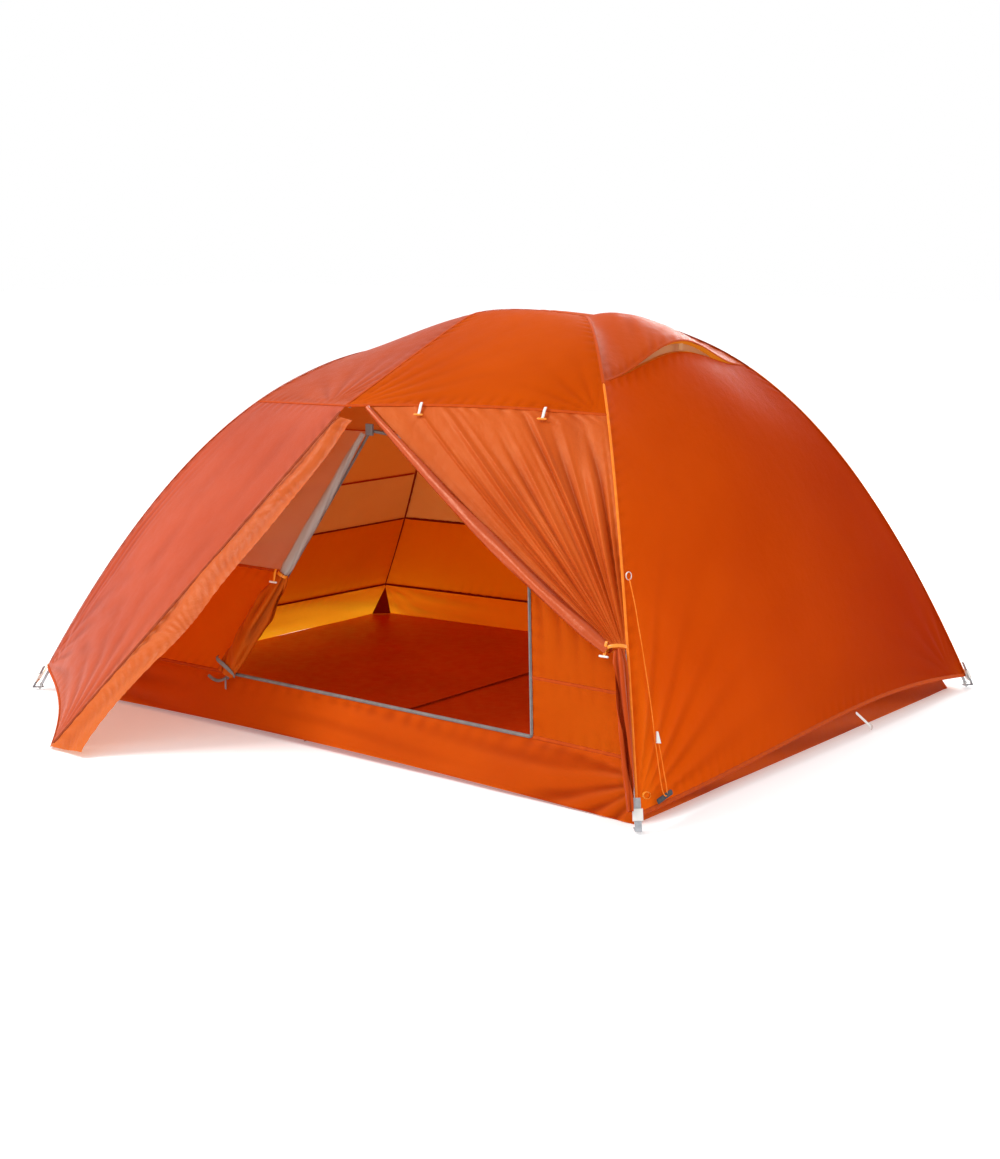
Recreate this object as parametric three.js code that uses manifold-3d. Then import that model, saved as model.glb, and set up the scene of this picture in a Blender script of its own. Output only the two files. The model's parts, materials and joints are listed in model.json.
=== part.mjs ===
// A two-door dome tent standing on hubbed poles: inner tent, rainfly, poles and corner hardware.
// Millimetres. +X runs to the head end, -Y to the front door, +Z up. The origin is on the ground
// under the middle of the floor.
import * as THREE from 'three';
import { mergeVertices } from 'three/addons/utils/BufferGeometryUtils.js';
import Module from 'manifold-3d';

const wasm = await Module();
wasm.setup();

// Overall sizes
const floorLength = 2290;
const floorWidthHead = 1850;
const floorWidthFoot = 1595;
const headHubX = 352;
const headHubHeight = 1183;
const footHubX = -400;
const footHubHeight = 1061;
const ridgeBow = 67;
const browX = -40;
const browHalfSpan = 641;
const browDrop = 243;
const browTopRadius = 60;
const browEndGap = 12;
const stakeX = -591;
const stakeReach = 1314;

// Poles
const poleDiameter = 9;
const tipReach = 65;
const tipHeight = 5;
const tipBallRadius = 4.5;
const tipLength = 16;
const legHeadPower = 2.27;
const legFootPower = 2.08;
const legHeadBow = 5;
const legFootBow = 145;
const poleCrossingGap = 1.5;
const poleJoint = 0.3;
const browJoint = 2;
const hubRadius = 13;
const sleeveRadius = 8;
const sleeveLength = 28;
const socketPlay = 0.8;
const swivelRadius = 12;

// Cloth
const clothThickness = 1.5;
const flyGap = 5.5;
const seamInset = 1.2;
const innerGap = 38;
const tubHeight = 125;
const sillHeight = 150;
const tubSideLean = 50;
const tubEndLean = 66;
const hemRise = 46;
const hemSkew = 1.7;
const vestibuleHemRise = 30;
const vestibuleHemInset = 46;
const vestibuleHemSkew = 1.3;
const stakeHemHeight = 6;
const flapWidthTop = 42;
const flapWidthFoot = 150;
const flapFootOut = 24;
const flapTopShift = [-2, -8];
const flapLift = 4;
const flapCrown = 8;
const flapTopAt = 0.97;

// Where things join the legs, as a share of the way from the pole tip to the hub
const browHemAt = 0.52;
const hoodHemAt = 0.61;
const tieAt = 0.17;
const doorTopAt = 0.1;
const footSeamAt = 0.62;
const hemHeadAt = 0.012;
const hemFootAt = 0.032;
const hubEdgeAt = 0.96;
const innerRoofHeadAt = 0.5;
const innerRoofFootAt = 0.58;
const tubLegHeadAt = 0.055;
const tubLegFootAt = 0.06;

// Vent, doors and small hardware
const ventLift = 92;
const ventSillLift = 58;
const ventHalfWidth = 150;
const strutWidth = 26;
const strutThickness = 2;
const ventForward = 0.05;
const ventMeshBack = [-10, 0, 2];
const ventMeshTopBack = [-14, 0, -10];
const strutBaseShift = [6, 0, 6];
const strutTipShift = [-6, 0, -8];
const apexAt = 0.855;
const apexDrop = 108;
const apexForward = 12;
const doorSeamHalf = 14;
const doorFootX = -374;
const doorHeadX = 778;
const doorKneeX = 640;
const doorKneeHeight = 610;
const doorCrownX = 560;
const doorCrownHeight = 850;
const doorRollRadius = 26;
const rollStarts = 0.02;
const rollEnds = 0.88;
const rollTieAt = 0.42;
const sliderSize = [9, 5, 14];
const pullSize = [6, 1.4, 34];
const clipSize = [26, 7, 34];
const strapWidth = 18;
const strapThickness = 1.6;
const strapLength = 84;
const plateHeight = 8.3;
const plateLength = 34;
const tailOffset = 22;
const grommetRadius = 6.5;
const buckleWidth = 26;
const buckleLength = 30;
const buckleThickness = 7;
const buckleStart = 26;
const browToggleFootAt = 0.22;
const browToggleHeadAt = 0.745;
const toggleLength = 30;
const toggleRadius = 3;
const toggleStrapLength = 36;
const toggleStrapWidth = 9;
const toggleStandOff = 9;
const toggleStrapThickness = 1.6;
const doorTieDrop = [-34, -16, 2];
const doorLeadSag = 24;
const tailFootShift = [-26, -6, 8];
const doorLean = 20;
const cordDiameter = 3;
const tensionerLength = 30;
const tensionerWidth = 18;
const tensionerThickness = 3;

// Finishes: colour, roughness, metalness
const finishes = {
  flyFoot: [0xe07052, 0.45, 0],
  flyBrow: [0xd95a0f, 0.45, 0],
  flyHead: [0xc24a08, 0.45, 0],
  flap: [0xe56a1c, 0.5, 0],
  innerSolid: [0xd8691c, 0.6, 0],
  innerMesh: [0xc9a078, 0.7, 0],
  floor: [0x96200a, 0.6, 0],
  tub: [0xc8500c, 0.55, 0],
  pole: [0x8d8f92, 0.3, 0.9],
  tip: [0xb9bbbd, 0.3, 1],
  plastic: [0x6d6f72, 0.5, 0],
  whitePlastic: [0xe4e2de, 0.45, 0],
  webbing: [0x8b8d90, 0.8, 0],
  buckle: [0xd9d7d3, 0.45, 0],
  accent: [0xf08a2c, 0.5, 0],
  cord: [0xf2761c, 0.7, 0],
};

const poleRadius = poleDiameter / 2;
const crossing = poleDiameter + poleCrossingGap;
const legFlyLift = poleRadius + flyGap + clothThickness / 2;
const ridgeFlyLift = crossing + legFlyLift;
const front = -1;
const rear = 1;
const head = 1;
const foot = -1;
const up = new THREE.Vector3(0, 0, 1);
const tent = new THREE.Group();

// Small helpers

function point(x, y, z) {
  return new THREE.Vector3(x, y, z);
}

function between(a, b, t) {
  return a.clone().lerp(b, t);
}

function sideName(side) {
  return side === front ? 'front' : 'rear';
}

function endName(end) {
  return end === head ? 'head' : 'foot';
}

function addMesh(name, geometry, finish) {
  const [color, roughness, metalness] = finishes[finish];
  const material = new THREE.MeshStandardMaterial({ color, roughness, metalness });
  const mesh = new THREE.Mesh(geometry, material);
  mesh.name = name;
  tent.add(mesh);
  return mesh;
}

// Turns a mesh so that its own X, Y and Z lie along the three directions given
function place(mesh, origin, xAxis, yAxis, zAxis) {
  mesh.quaternion.setFromRotationMatrix(new THREE.Matrix4().makeBasis(xAxis, yAxis, zAxis));
  mesh.position.copy(origin);
  return mesh;
}

function toSolid(geometry) {
  const bare = geometry.clone();
  bare.deleteAttribute('normal');
  bare.deleteAttribute('uv');
  const merged = mergeVertices(bare.index ? bare.toNonIndexed() : bare, 1e-4);
  return new wasm.Manifold(new wasm.Mesh({
    numProp: 3,
    vertProperties: Float32Array.from(merged.attributes.position.array),
    triVerts: Uint32Array.from(merged.index.array),
  }));
}

function fromSolid(solid) {
  const mesh = solid.getMesh();
  const geometry = new THREE.BufferGeometry();
  geometry.setAttribute('position', new THREE.BufferAttribute(mesh.vertProperties, 3));
  geometry.setIndex(new THREE.BufferAttribute(mesh.triVerts, 1));
  return geometry;
}

// A closed round bar between two points
function bar(a, b, radius, sides = 10) {
  const direction = b.clone().sub(a);
  const geometry = new THREE.CylinderGeometry(radius, radius, direction.length(), sides);
  geometry.applyQuaternion(new THREE.Quaternion().setFromUnitVectors(
    point(0, 1, 0), direction.clone().normalize()));
  const middle = between(a, b, 0.5);
  geometry.translate(middle.x, middle.y, middle.z);
  return geometry;
}

function roundSection(radius, sides) {
  const corners = [];
  for (let i = 0; i < sides; i += 1) {
    const turn = (2 * Math.PI * i) / sides;
    corners.push(new THREE.Vector2(radius * Math.cos(turn), radius * Math.sin(turn)));
  }
  return new THREE.Shape(corners);
}

// A closed tube of round section along a list of points
function tubeAlong(points, radius, steps, sides = 8) {
  const path = new THREE.CatmullRomCurve3(points, false, 'centripetal');
  return new THREE.ExtrudeGeometry(roundSection(radius, sides), {
    steps, extrudePath: path, bevelEnabled: false,
  });
}

// Pole centre lines

const hubs = {
  [head]: point(headHubX, 0, headHubHeight),
  [foot]: point(footHubX, 0, footHubHeight),
};

function floorCorner(end, side) {
  const width = end === head ? floorWidthHead : floorWidthFoot;
  return point(end * floorLength / 2, side * width / 2, 0);
}

function outwards(end, side) {
  const direction = floorCorner(end, side).sub(hubs[end]);
  direction.z = 0;
  return direction.normalize();
}

function poleTip(end, side) {
  return floorCorner(end, side).addScaledVector(outwards(end, side), tipReach).setZ(tipHeight);
}

// Each leg rises steeply from its tip and flattens towards its hub, bowing out a little in plan
function legPoint(end, side, s) {
  const tip = poleTip(end, side);
  const hub = hubs[end];
  const rise = 1 - (1 - s) ** (end === head ? legHeadPower : legFootPower);
  const bow = (end === head ? legHeadBow : legFootBow) * 4 * s * (1 - s);
  const out = outwards(end, side);
  const across = point(-out.y, out.x, 0);
  across.multiplyScalar(Math.sign(across.y) * side * bow);
  return between(tip, hub, s).setZ(tip.z + (hub.z - tip.z) * rise).add(across);
}

function ridgePoint(x) {
  const s = (x - footHubX) / (headHubX - footHubX);
  const chord = footHubHeight + (headHubHeight - footHubHeight) * s;
  return point(x, 0, chord + ridgeBow * (1 - Math.abs(2 * s - 1) ** 1.6));
}

const ridgeTop = ridgePoint(browX);

function browPoint(side, t) {
  const y = browHalfSpan * t;
  const fall = Math.hypot(y, browTopRadius) - browTopRadius;
  const fullFall = Math.hypot(browHalfSpan, browTopRadius) - browTopRadius;
  return point(browX, side * y, ridgeTop.z + crossing - browDrop * fall / fullFall);
}

function tangentOf(line, s) {
  const step = 0.002;
  const a = line(Math.max(0, s - step));
  const b = line(Math.min(1, s + step));
  return b.sub(a).normalize();
}

// The direction square to a pole that points up and away from the tent
function outOf(line, s) {
  const tangent = tangentOf(line, s);
  return up.clone().addScaledVector(tangent, -tangent.z).normalize();
}

function offsetLine(line, lift) {
  return s => line(s).addScaledVector(outOf(line, s), lift);
}

// Lines that the fly panels share

function legFly(end, side) {
  const line = s => legPoint(end, side, s);
  return s => {
    const nearHub = THREE.MathUtils.smoothstep(s, 0.7, 1);
    const lift = outOf(line, s).multiplyScalar(legFlyLift * (1 - nearHub));
    return line(s).add(lift).addScaledVector(up, ridgeFlyLift * nearHub);
  };
}

function ridgeFly(x) {
  return ridgePoint(x).addScaledVector(up, ridgeFlyLift);
}

function browFly(side) {
  const line = offsetLine(t => browPoint(side, t), legFlyLift);
  return t => line(t ** 1.5);
}

const browEnd = side => browFly(side)(1);
const browCorner = side => legFly(head, side)(browHemAt);
const footSeam = side => legFly(foot, side)(footSeamAt);
const stakePoint = side => point(stakeX, side * stakeReach, stakeHemHeight);

function browHem(side) {
  return t => between(browEnd(side), browCorner(side), t).add(
    point(0, -side * 12, 10).multiplyScalar(Math.sin(Math.PI * t)));
}

// A skew over 1 moves the top of the arch towards b
function arched(a, b, rise, skew = 1) {
  return t => between(a, b, t).addScaledVector(up, rise * Math.sin(Math.PI * t ** skew));
}

function straight(a, b) {
  return t => between(a, b, t);
}

function stretch(line, from, to) {
  return t => line(from + (to - from) * t);
}

// Cloth panels

// A patch that spans four edges. Top and bottom run one way, left and right run bottom to top.
function spanning(edges, crown = 0) {
  const { bottom, top, left, right } = edges;
  const middle = (u, v) => {
    const across = between(left(v), right(v), u);
    const along = between(bottom(u), top(u), v);
    const low = between(bottom(0), bottom(1), u);
    const high = between(top(0), top(1), u);
    return across.add(along).sub(between(low, high, v));
  };
  const face = right(0.5).sub(left(0.5)).cross(top(0.5).sub(bottom(0.5))).normalize();
  return (u, v) => middle(u, v).addScaledVector(
    face, crown * Math.sin(Math.PI * u) * Math.sin(Math.PI * v));
}

// Gives a surface its thickness as a closed shell. The rim is drawn in by the seam inset, so that
// panels sharing a line stay apart.
function clothShell(surface, columns, rows, thickness = clothThickness) {
  const raw = [];
  for (let j = 0; j <= rows; j += 1) {
    raw.push([]);
    for (let i = 0; i <= columns; i += 1) raw[j].push(surface(i / columns, j / rows));
  }
  const towards = (from, to) => to.clone().sub(from).normalize().multiplyScalar(seamInset);
  const grid = raw.map((line, j) => line.map((place0, i) => {
    const p = place0.clone();
    if (i === 0) p.add(towards(place0, raw[j][1]));
    if (i === columns) p.add(towards(place0, raw[j][columns - 1]));
    if (j === 0) p.add(towards(place0, raw[1][i]));
    if (j === rows) p.add(towards(place0, raw[rows - 1][i]));
    return p;
  }));
  const normal = (i, j) => {
    const du = grid[j][Math.min(i + 1, columns)].clone().sub(grid[j][Math.max(i - 1, 0)]);
    const dv = grid[Math.min(j + 1, rows)][i].clone().sub(grid[Math.max(j - 1, 0)][i]);
    return du.cross(dv).normalize();
  };
  const positions = [];
  for (const sign of [1, -1]) {
    for (let j = 0; j <= rows; j += 1) {
      for (let i = 0; i <= columns; i += 1) {
        const p = grid[j][i].clone().addScaledVector(normal(i, j), sign * thickness / 2);
        positions.push(p.x, p.y, p.z);
      }
    }
  }
  const layer = (columns + 1) * (rows + 1);
  const at = (i, j, side) => side * layer + j * (columns + 1) + i;
  const faces = [];
  const quad = (a, b, c, d) => faces.push(a, b, c, a, c, d);
  for (let j = 0; j < rows; j += 1) {
    for (let i = 0; i < columns; i += 1) {
      quad(at(i, j, 0), at(i + 1, j, 0), at(i + 1, j + 1, 0), at(i, j + 1, 0));
      quad(at(i, j, 1), at(i, j + 1, 1), at(i + 1, j + 1, 1), at(i + 1, j, 1));
    }
    quad(at(0, j, 0), at(0, j + 1, 0), at(0, j + 1, 1), at(0, j, 1));
    quad(at(columns, j, 0), at(columns, j, 1), at(columns, j + 1, 1), at(columns, j + 1, 0));
  }
  for (let i = 0; i < columns; i += 1) {
    quad(at(i, 0, 0), at(i, 0, 1), at(i + 1, 0, 1), at(i + 1, 0, 0));
    quad(at(i, rows, 0), at(i + 1, rows, 0), at(i + 1, rows, 1), at(i, rows, 1));
  }
  const geometry = new THREE.BufferGeometry();
  geometry.setAttribute('position', new THREE.Float32BufferAttribute(positions, 3));
  geometry.setIndex(faces);
  return geometry;
}

function panel(name, finish, edges, columns, rows, crown = 0) {
  return addMesh(name, clothShell(spanning(edges, crown), columns, rows), finish);
}

// Frame

function sampled(line, from, to, count) {
  const points = [];
  for (let i = 0; i <= count; i += 1) points.push(line(from + (to - from) * i / count));
  return points;
}

function poleAlong(name, line, from, to, steps) {
  addMesh(name, tubeAlong(sampled(line, from, to, 3 * steps), poleRadius, steps), 'pole');
}

function addLegs() {
  for (const end of [head, foot]) {
    for (const side of [front, rear]) {
      const line = s => legPoint(end, side, s);
      const run = line(0).distanceTo(line(0.01)) / 0.01;
      const hubRun = line(1).distanceTo(line(0.99)) / 0.01;
      const from = (tipLength + 0.3) / run;
      const to = 1 - (hubRadius + 2) / hubRun;
      poleAlong(`leg_pole_${endName(end)}_${sideName(side)}`, line, from, to, 30);
    }
  }
}

function addRidgeAndBrow() {
  const line = t => ridgePoint(footHubX + (headHubX - footHubX) * t);
  const span = headHubX - footHubX;
  const peakAt = (browX - footHubX) / span;
  const hubEnd = (hubRadius + 2) / span;
  poleAlong('ridge_pole_foot', line, hubEnd, peakAt - poleJoint / span, 6);
  poleAlong('ridge_pole_head', line, peakAt + poleJoint / span, 1 - hubEnd, 6);
  for (const side of [front, rear]) {
    const brow = t => browPoint(side, t);
    const from = browJoint / browHalfSpan;
    poleAlong(`brow_pole_${sideName(side)}`, brow, from, 1 - browEndGap / browHalfSpan, 22);
  }
}

function addSwivel() {
  const low = -poleRadius - 3;
  const high = crossing + 2;
  const middle = ridgeTop.clone();
  const body = bar(middle.clone().setZ(middle.z + low), middle.clone().setZ(middle.z + high),
    swivelRadius, 16);
  const reach = swivelRadius + 5;
  const ridgeBore = tubeAlong([-reach, 0, reach].map(x => ridgePoint(browX + x)),
    poleRadius + socketPlay, 4);
  const browBore = tubeAlong([-1, -0.5, 0, 0.5, 1].map(
    share => browPoint(rear, reach * share / browHalfSpan)), poleRadius + 2 * socketPlay, 6);
  const solid = toSolid(body).subtract(toSolid(ridgeBore)).subtract(toSolid(browBore));
  addMesh('brow_swivel', fromSolid(solid), 'plastic');
}

function addHub(end) {
  const hub = hubs[end];
  const lines = [front, rear].map(side => (s => legPoint(end, side, 1 - s * 0.1)));
  lines.push(s => ridgePoint(hub.x - end * s * 80));
  const puck = new THREE.SphereGeometry(hubRadius, 12, 8);
  puck.translate(hub.x, hub.y, hub.z);
  let solid = toSolid(puck);
  for (const line of lines) {
    const reach = line(1).sub(hub).normalize().multiplyScalar(sleeveLength);
    solid = solid.add(toSolid(bar(hub, hub.clone().add(reach), sleeveRadius)));
  }
  for (const line of lines) {
    const run = line(0).distanceTo(line(1));
    const start = (hubRadius - 3) / run;
    const stop = (sleeveLength + 12) / run;
    const bore = sampled(line, start, stop, 6);
    solid = solid.subtract(toSolid(tubeAlong(bore, poleRadius + socketPlay, 6, 12)));
  }
  addMesh(`hub_${endName(end)}`, fromSolid(solid), 'plastic');
}

// Local directions at a pole tip: along the pole, out of the tent, and across
function tipFrame(end, side) {
  const line = s => legPoint(end, side, s);
  const along = tangentOf(line, 0);
  const out = outOf(line, 0);
  return { origin: line(0), along, out, across: along.clone().cross(out) };
}

function addTip(end, side) {
  const { origin, along, out, across } = tipFrame(end, side);
  const profile = [
    [0, -tipBallRadius], [3.4, -3], [tipBallRadius, 0], [3.4, 3], [2.6, 4.5], [2.6, 9],
    [6.2, 9.6], [6.2, tipLength], [0, tipLength],
  ];
  const lathe = new THREE.LatheGeometry(profile.map(([r, h]) => new THREE.Vector2(r, h)), 10);
  const mesh = addMesh(`pole_tip_${endName(end)}_${sideName(side)}`, lathe, 'tip');
  place(mesh, origin, out, along, across.clone().negate());
}

// The webbing that holds the tip: a grommet plate round the neck and a tail up the pole's outside
function addCornerStrap(end, side) {
  const { origin, along, out, across } = tipFrame(end, side);
  const flat = outwards(end, side);
  const neck = origin.clone().addScaledVector(along, (plateHeight - tipHeight) / along.z);
  const plate = new THREE.BoxGeometry(plateLength, strapWidth, strapThickness);
  const turn = new THREE.Matrix4().makeBasis(flat, up.clone().cross(flat), up);
  turn.setPosition(neck.clone().addScaledVector(flat, tailOffset - plateLength / 2 + 1));
  plate.applyMatrix4(turn);
  const tail = new THREE.BoxGeometry(strapLength, strapWidth, strapThickness);
  const tailStart = neck.clone().addScaledVector(flat, tailOffset);
  const tailTurn = new THREE.Matrix4().makeBasis(along, across.clone().negate(), out);
  tailTurn.setPosition(tailStart.clone().addScaledVector(along, strapLength / 2 - 0.5));
  tail.applyMatrix4(tailTurn);
  const hole = bar(neck.clone().addScaledVector(up, -strapWidth / 2),
    neck.clone().addScaledVector(up, strapWidth / 2), grommetRadius);
  const solid = toSolid(plate).add(toSolid(tail)).subtract(toSolid(hole));
  addMesh(`corner_strap_${endName(end)}_${sideName(side)}`, fromSolid(solid), 'webbing');
  addBuckle(end, side, tailStart, along, across, out);
}

// A ladder-lock buckle that slides on the tail
function addBuckle(end, side, start, along, across, out) {
  const body = new THREE.BoxGeometry(buckleLength, buckleWidth, buckleThickness);
  const slot = new THREE.BoxGeometry(buckleLength + 2, strapWidth + 1.2, strapThickness + 1.2);
  const mesh = addMesh(`corner_buckle_${endName(end)}_${sideName(side)}`,
    fromSolid(toSolid(body).subtract(toSolid(slot))), 'buckle');
  const centre = start.clone().addScaledVector(along, buckleStart + buckleLength / 2);
  place(mesh, centre, along, across.clone().negate(), out);
}

// Fly

function addFlyRoof(side) {
  const name = sideName(side);
  panel(`fly_brow_${name}`, 'flyBrow', {
    bottom: browHem(side),
    top: t => ridgeFly(browX + (hubFlyX(head) - browX) * t),
    left: t => browFly(side)(1 - t),
    right: stretch(legFly(head, side), browHemAt, hubEdgeAt),
  }, 7, 6);
  panel(`fly_roof_${name}`, 'flyFoot', {
    bottom: straight(footSeam(side), browEnd(side)),
    top: t => ridgeFly(hubFlyX(foot) + (browX - hubFlyX(foot)) * t),
    left: stretch(legFly(foot, side), footSeamAt, hubEdgeAt),
    right: t => browFly(side)(1 - t),
  }, 7, 6);
}

// The ridge line of the fly meets the leg lines a little way out from each hub
function hubFlyX(end) {
  return hubs[end].x - end * 2;
}

function hemAt(end) {
  return end === head ? hemHeadAt : hemFootAt;
}

function addFlyEnd(end) {
  const hemPoint = side => legFly(end, side)(hemAt(end));
  const topAt = end === head ? hoodHemAt : hubEdgeAt;
  panel(`fly_${endName(end)}_end`, end === head ? 'flyHead' : 'flyFoot', {
    bottom: arched(hemPoint(front), hemPoint(rear), hemRise, hemSkew),
    top: end === head ? ventSill : straight(legFly(end, front)(topAt), legFly(end, rear)(topAt)),
    left: stretch(legFly(end, front), hemAt(end), topAt),
    right: stretch(legFly(end, rear), hemAt(end), topAt),
  }, 8, 13);
}

function zipLine(side) {
  return straight(stakePoint(side), browEnd(side));
}

function addVestibule(side) {
  const hem = arched(legFly(foot, side)(hemFootAt), stakePoint(side), vestibuleHemRise);
  const hollow = point(vestibuleHemInset, 0, 0);
  panel(`vestibule_panel_${sideName(side)}`, 'flyFoot', {
    bottom: t => hem(t).add(hollow.clone().multiplyScalar(Math.sin(Math.PI * t ** vestibuleHemSkew))),
    top: straight(footSeam(side), browEnd(side)),
    left: stretch(legFly(foot, side), hemFootAt, footSeamAt),
    right: zipLine(side),
  }, 6, 10);
}

// The storm flap runs the length of the zip and folds out over it
function addStormFlap() {
  const zip = zipLine(front);
  const lift = point(0, -flapLift, 0);
  const footEdge = zip(0.01).add(point(flapWidthFoot, -flapFootOut, 0));
  const topEdge = zip(flapTopAt).add(point(flapWidthTop, ...flapTopShift));
  panel('storm_flap_front', 'flap', {
    bottom: straight(zip(0).add(lift), footEdge),
    top: straight(zip(flapTopAt).add(lift), topEdge),
    left: t => zip(flapTopAt * t).add(lift),
    right: straight(footEdge, topEdge),
  }, 3, 10, flapCrown);
}

const tiePoint = () => legFly(head, front)(tieAt).add(point(...doorTieDrop));

// The open door is gathered to a tie on the head leg and hangs from the brow hem in a fan
function sweptDoor() {
  const leg = legFly(head, front);
  return spanning({
    bottom: straight(tiePoint(), leg(tieAt)),
    top: stretch(browHem(front), doorTopAt, 1),
    left: arched(tiePoint(), browHem(front)(doorTopAt), -doorLeadSag),
    right: stretch(leg, tieAt, browHemAt),
  });
}

function addSweptDoor() {
  const leg = legFly(head, front);
  addMesh('fly_door_front', clothShell(sweptDoor(), 6, 9), 'flyBrow');
  const tailFoot = leg(hemHeadAt).add(point(...tailFootShift));
  panel('fly_door_tail_front', 'flyHead', {
    bottom: straight(tailFoot, leg(hemHeadAt)),
    top: straight(tiePoint(), leg(tieAt)),
    left: straight(tailFoot, tiePoint()),
    right: stretch(leg, hemHeadAt, tieAt),
  }, 2, 5);
}

function addClosedDoor() {
  const leg = legFly(head, rear);
  panel('fly_door_rear', 'flyBrow', {
    bottom: arched(stakePoint(rear), leg(hemHeadAt), vestibuleHemRise),
    top: browHem(rear),
    left: zipLine(rear),
    right: stretch(leg, hemHeadAt, browHemAt),
  }, 8, 8);
}

// The vent: the head end's top edge and the hood's hem both arch up between the legs, the hem
// higher, over a mesh strip and on a folding strut
function ventArch(t, rise) {
  const a = legFly(head, front)(hoodHemAt);
  const b = legFly(head, rear)(hoodHemAt);
  const swell = rise * Math.sin(Math.PI * t) ** 2;
  return between(a, b, t).add(point(ventForward * swell, 0, swell));
}

function ventSill(t) {
  return ventArch(t, ventSillLift);
}

function hoodHem(t) {
  return ventArch(t, ventLift);
}

function addVent() {
  const frontLeg = legFly(head, front);
  const rearLeg = legFly(head, rear);
  panel('vent_hood', 'flyBrow', {
    bottom: hoodHem,
    top: straight(frontLeg(hubEdgeAt), rearLeg(hubEdgeAt)),
    left: stretch(frontLeg, hoodHemAt, hubEdgeAt),
    right: stretch(rearLeg, hoodHemAt, hubEdgeAt),
  }, 10, 5);
  const width = frontLeg(hoodHemAt).distanceTo(rearLeg(hoodHemAt));
  const from = 0.5 - ventHalfWidth / width;
  const to = 0.5 + ventHalfWidth / width;
  const set = point(...ventMeshBack);
  const topSet = point(...ventMeshTopBack);
  panel('vent_mesh', 'innerMesh', {
    bottom: t => ventSill(from + (to - from) * t).add(set),
    top: t => hoodHem(from + (to - from) * t).add(topSet),
    left: straight(ventSill(from).add(set), hoodHem(from).add(topSet)),
    right: straight(ventSill(to).add(set), hoodHem(to).add(topSet)),
  }, 6, 2);
  const base = ventSill(0.5).add(point(...strutBaseShift));
  const tip = hoodHem(0.5).add(point(...strutTipShift));
  const along = tip.clone().sub(base).normalize();
  const across = point(0, 1, 0);
  const strutLength = tip.distanceTo(base);
  const strut = new THREE.BoxGeometry(strutLength, strutWidth, strutThickness);
  strut.translate(strutLength / 2, 0, 0);
  place(addMesh('vent_strut', strut, 'accent'), base, along, across, along.clone().cross(across));
}

// Inner tent

function innerLeg(end, side) {
  return offsetLine(s => legPoint(end, side, s), -innerGap);
}

const innerApex = side => point(
  browX + apexForward, side * browHalfSpan * apexAt, browPoint(side, apexAt).z - apexDrop);

function innerRidge(x) {
  return ridgePoint(x).addScaledVector(up, -innerGap);
}

function floorEdge(side, x) {
  const t = (x + floorLength / 2) / floorLength;
  return between(floorCorner(foot, side), floorCorner(head, side), t);
}

// The rim of the bathtub floor on the long sides and on the ends
function tubRim(side, x) {
  const height = side === front ? sillHeight : tubHeight;
  return floorEdge(side, x).add(point(0, -side * tubSideLean, height));
}

function tubCorner(end, side) {
  return tubRim(side, end * (floorLength / 2 - tubEndLean));
}

function addTub() {
  const seam = 4;
  const corners = [[foot, front], [head, front], [head, rear], [foot, rear]].map(
    ([end, side]) => floorCorner(end, side));
  const floor = new THREE.Shape(corners.map(c => new THREE.Vector2(c.x, c.y)));
  addMesh('floor_sheet', new THREE.ExtrudeGeometry(floor, {
    depth: clothThickness, bevelEnabled: false,
  }), 'floor');
  const lift = point(0, 0, clothThickness + 1);
  for (const side of [front, rear]) {
    const inset = point(0, -side * 2, 0);
    const ends = [foot, head].map(end => floorEdge(side, end * (floorLength / 2 - seam)));
    panel(`tub_wall_${sideName(side)}`, 'tub', {
      bottom: straight(ends[0].add(lift).add(inset), ends[1].add(lift).add(inset)),
      top: straight(tubCorner(foot, side), tubCorner(head, side)),
      left: straight(ends[0], tubCorner(foot, side)),
      right: straight(ends[1], tubCorner(head, side)),
    }, 8, 1);
  }
  for (const end of [foot, head]) {
    const inset = point(-end * 2, 0, 0);
    const ends = [front, rear].map(
      side => floorCorner(end, side).add(point(0, -side * seam, 0)).add(lift).add(inset));
    const tops = [front, rear].map(side => tubCorner(end, side).add(point(end * 3, -side * 4, 0)));
    tops.forEach(top => top.setZ(tubHeight));
    panel(`tub_wall_${endName(end)}`, 'tub', {
      bottom: straight(ends[0], ends[1]),
      top: straight(tops[0], tops[1]),
      left: straight(ends[0], tops[0]),
      right: straight(ends[1], tops[1]),
    }, 6, 1);
  }
}

const rimGap = point(0, 0, 4);

function doorFoot() {
  return tubRim(front, doorFootX).add(rimGap);
}

function doorHead() {
  return tubRim(front, doorHeadX).add(rimGap);
}

// A point on the plane of the front wall, which leans in from the floor edge to the apex
function frontWall(x, height) {
  const apex = innerApex(front);
  const lean = (apex.y - floorEdge(front, apex.x).y) * height / apex.z;
  return floorEdge(front, x).add(point(0, lean, height));
}

// The head side of the doorway rises straight, then sweeps over to the apex
function doorwayEdge(t) {
  const low = doorHead();
  const knee = frontWall(doorKneeX, doorKneeHeight);
  const sweep = new THREE.QuadraticBezierCurve3(
    knee, frontWall(doorCrownX, doorCrownHeight), innerApex(front));
  return t < 0.5 ? between(low, knee, 2 * t) : sweep.getPoint(2 * t - 1);
}

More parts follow.
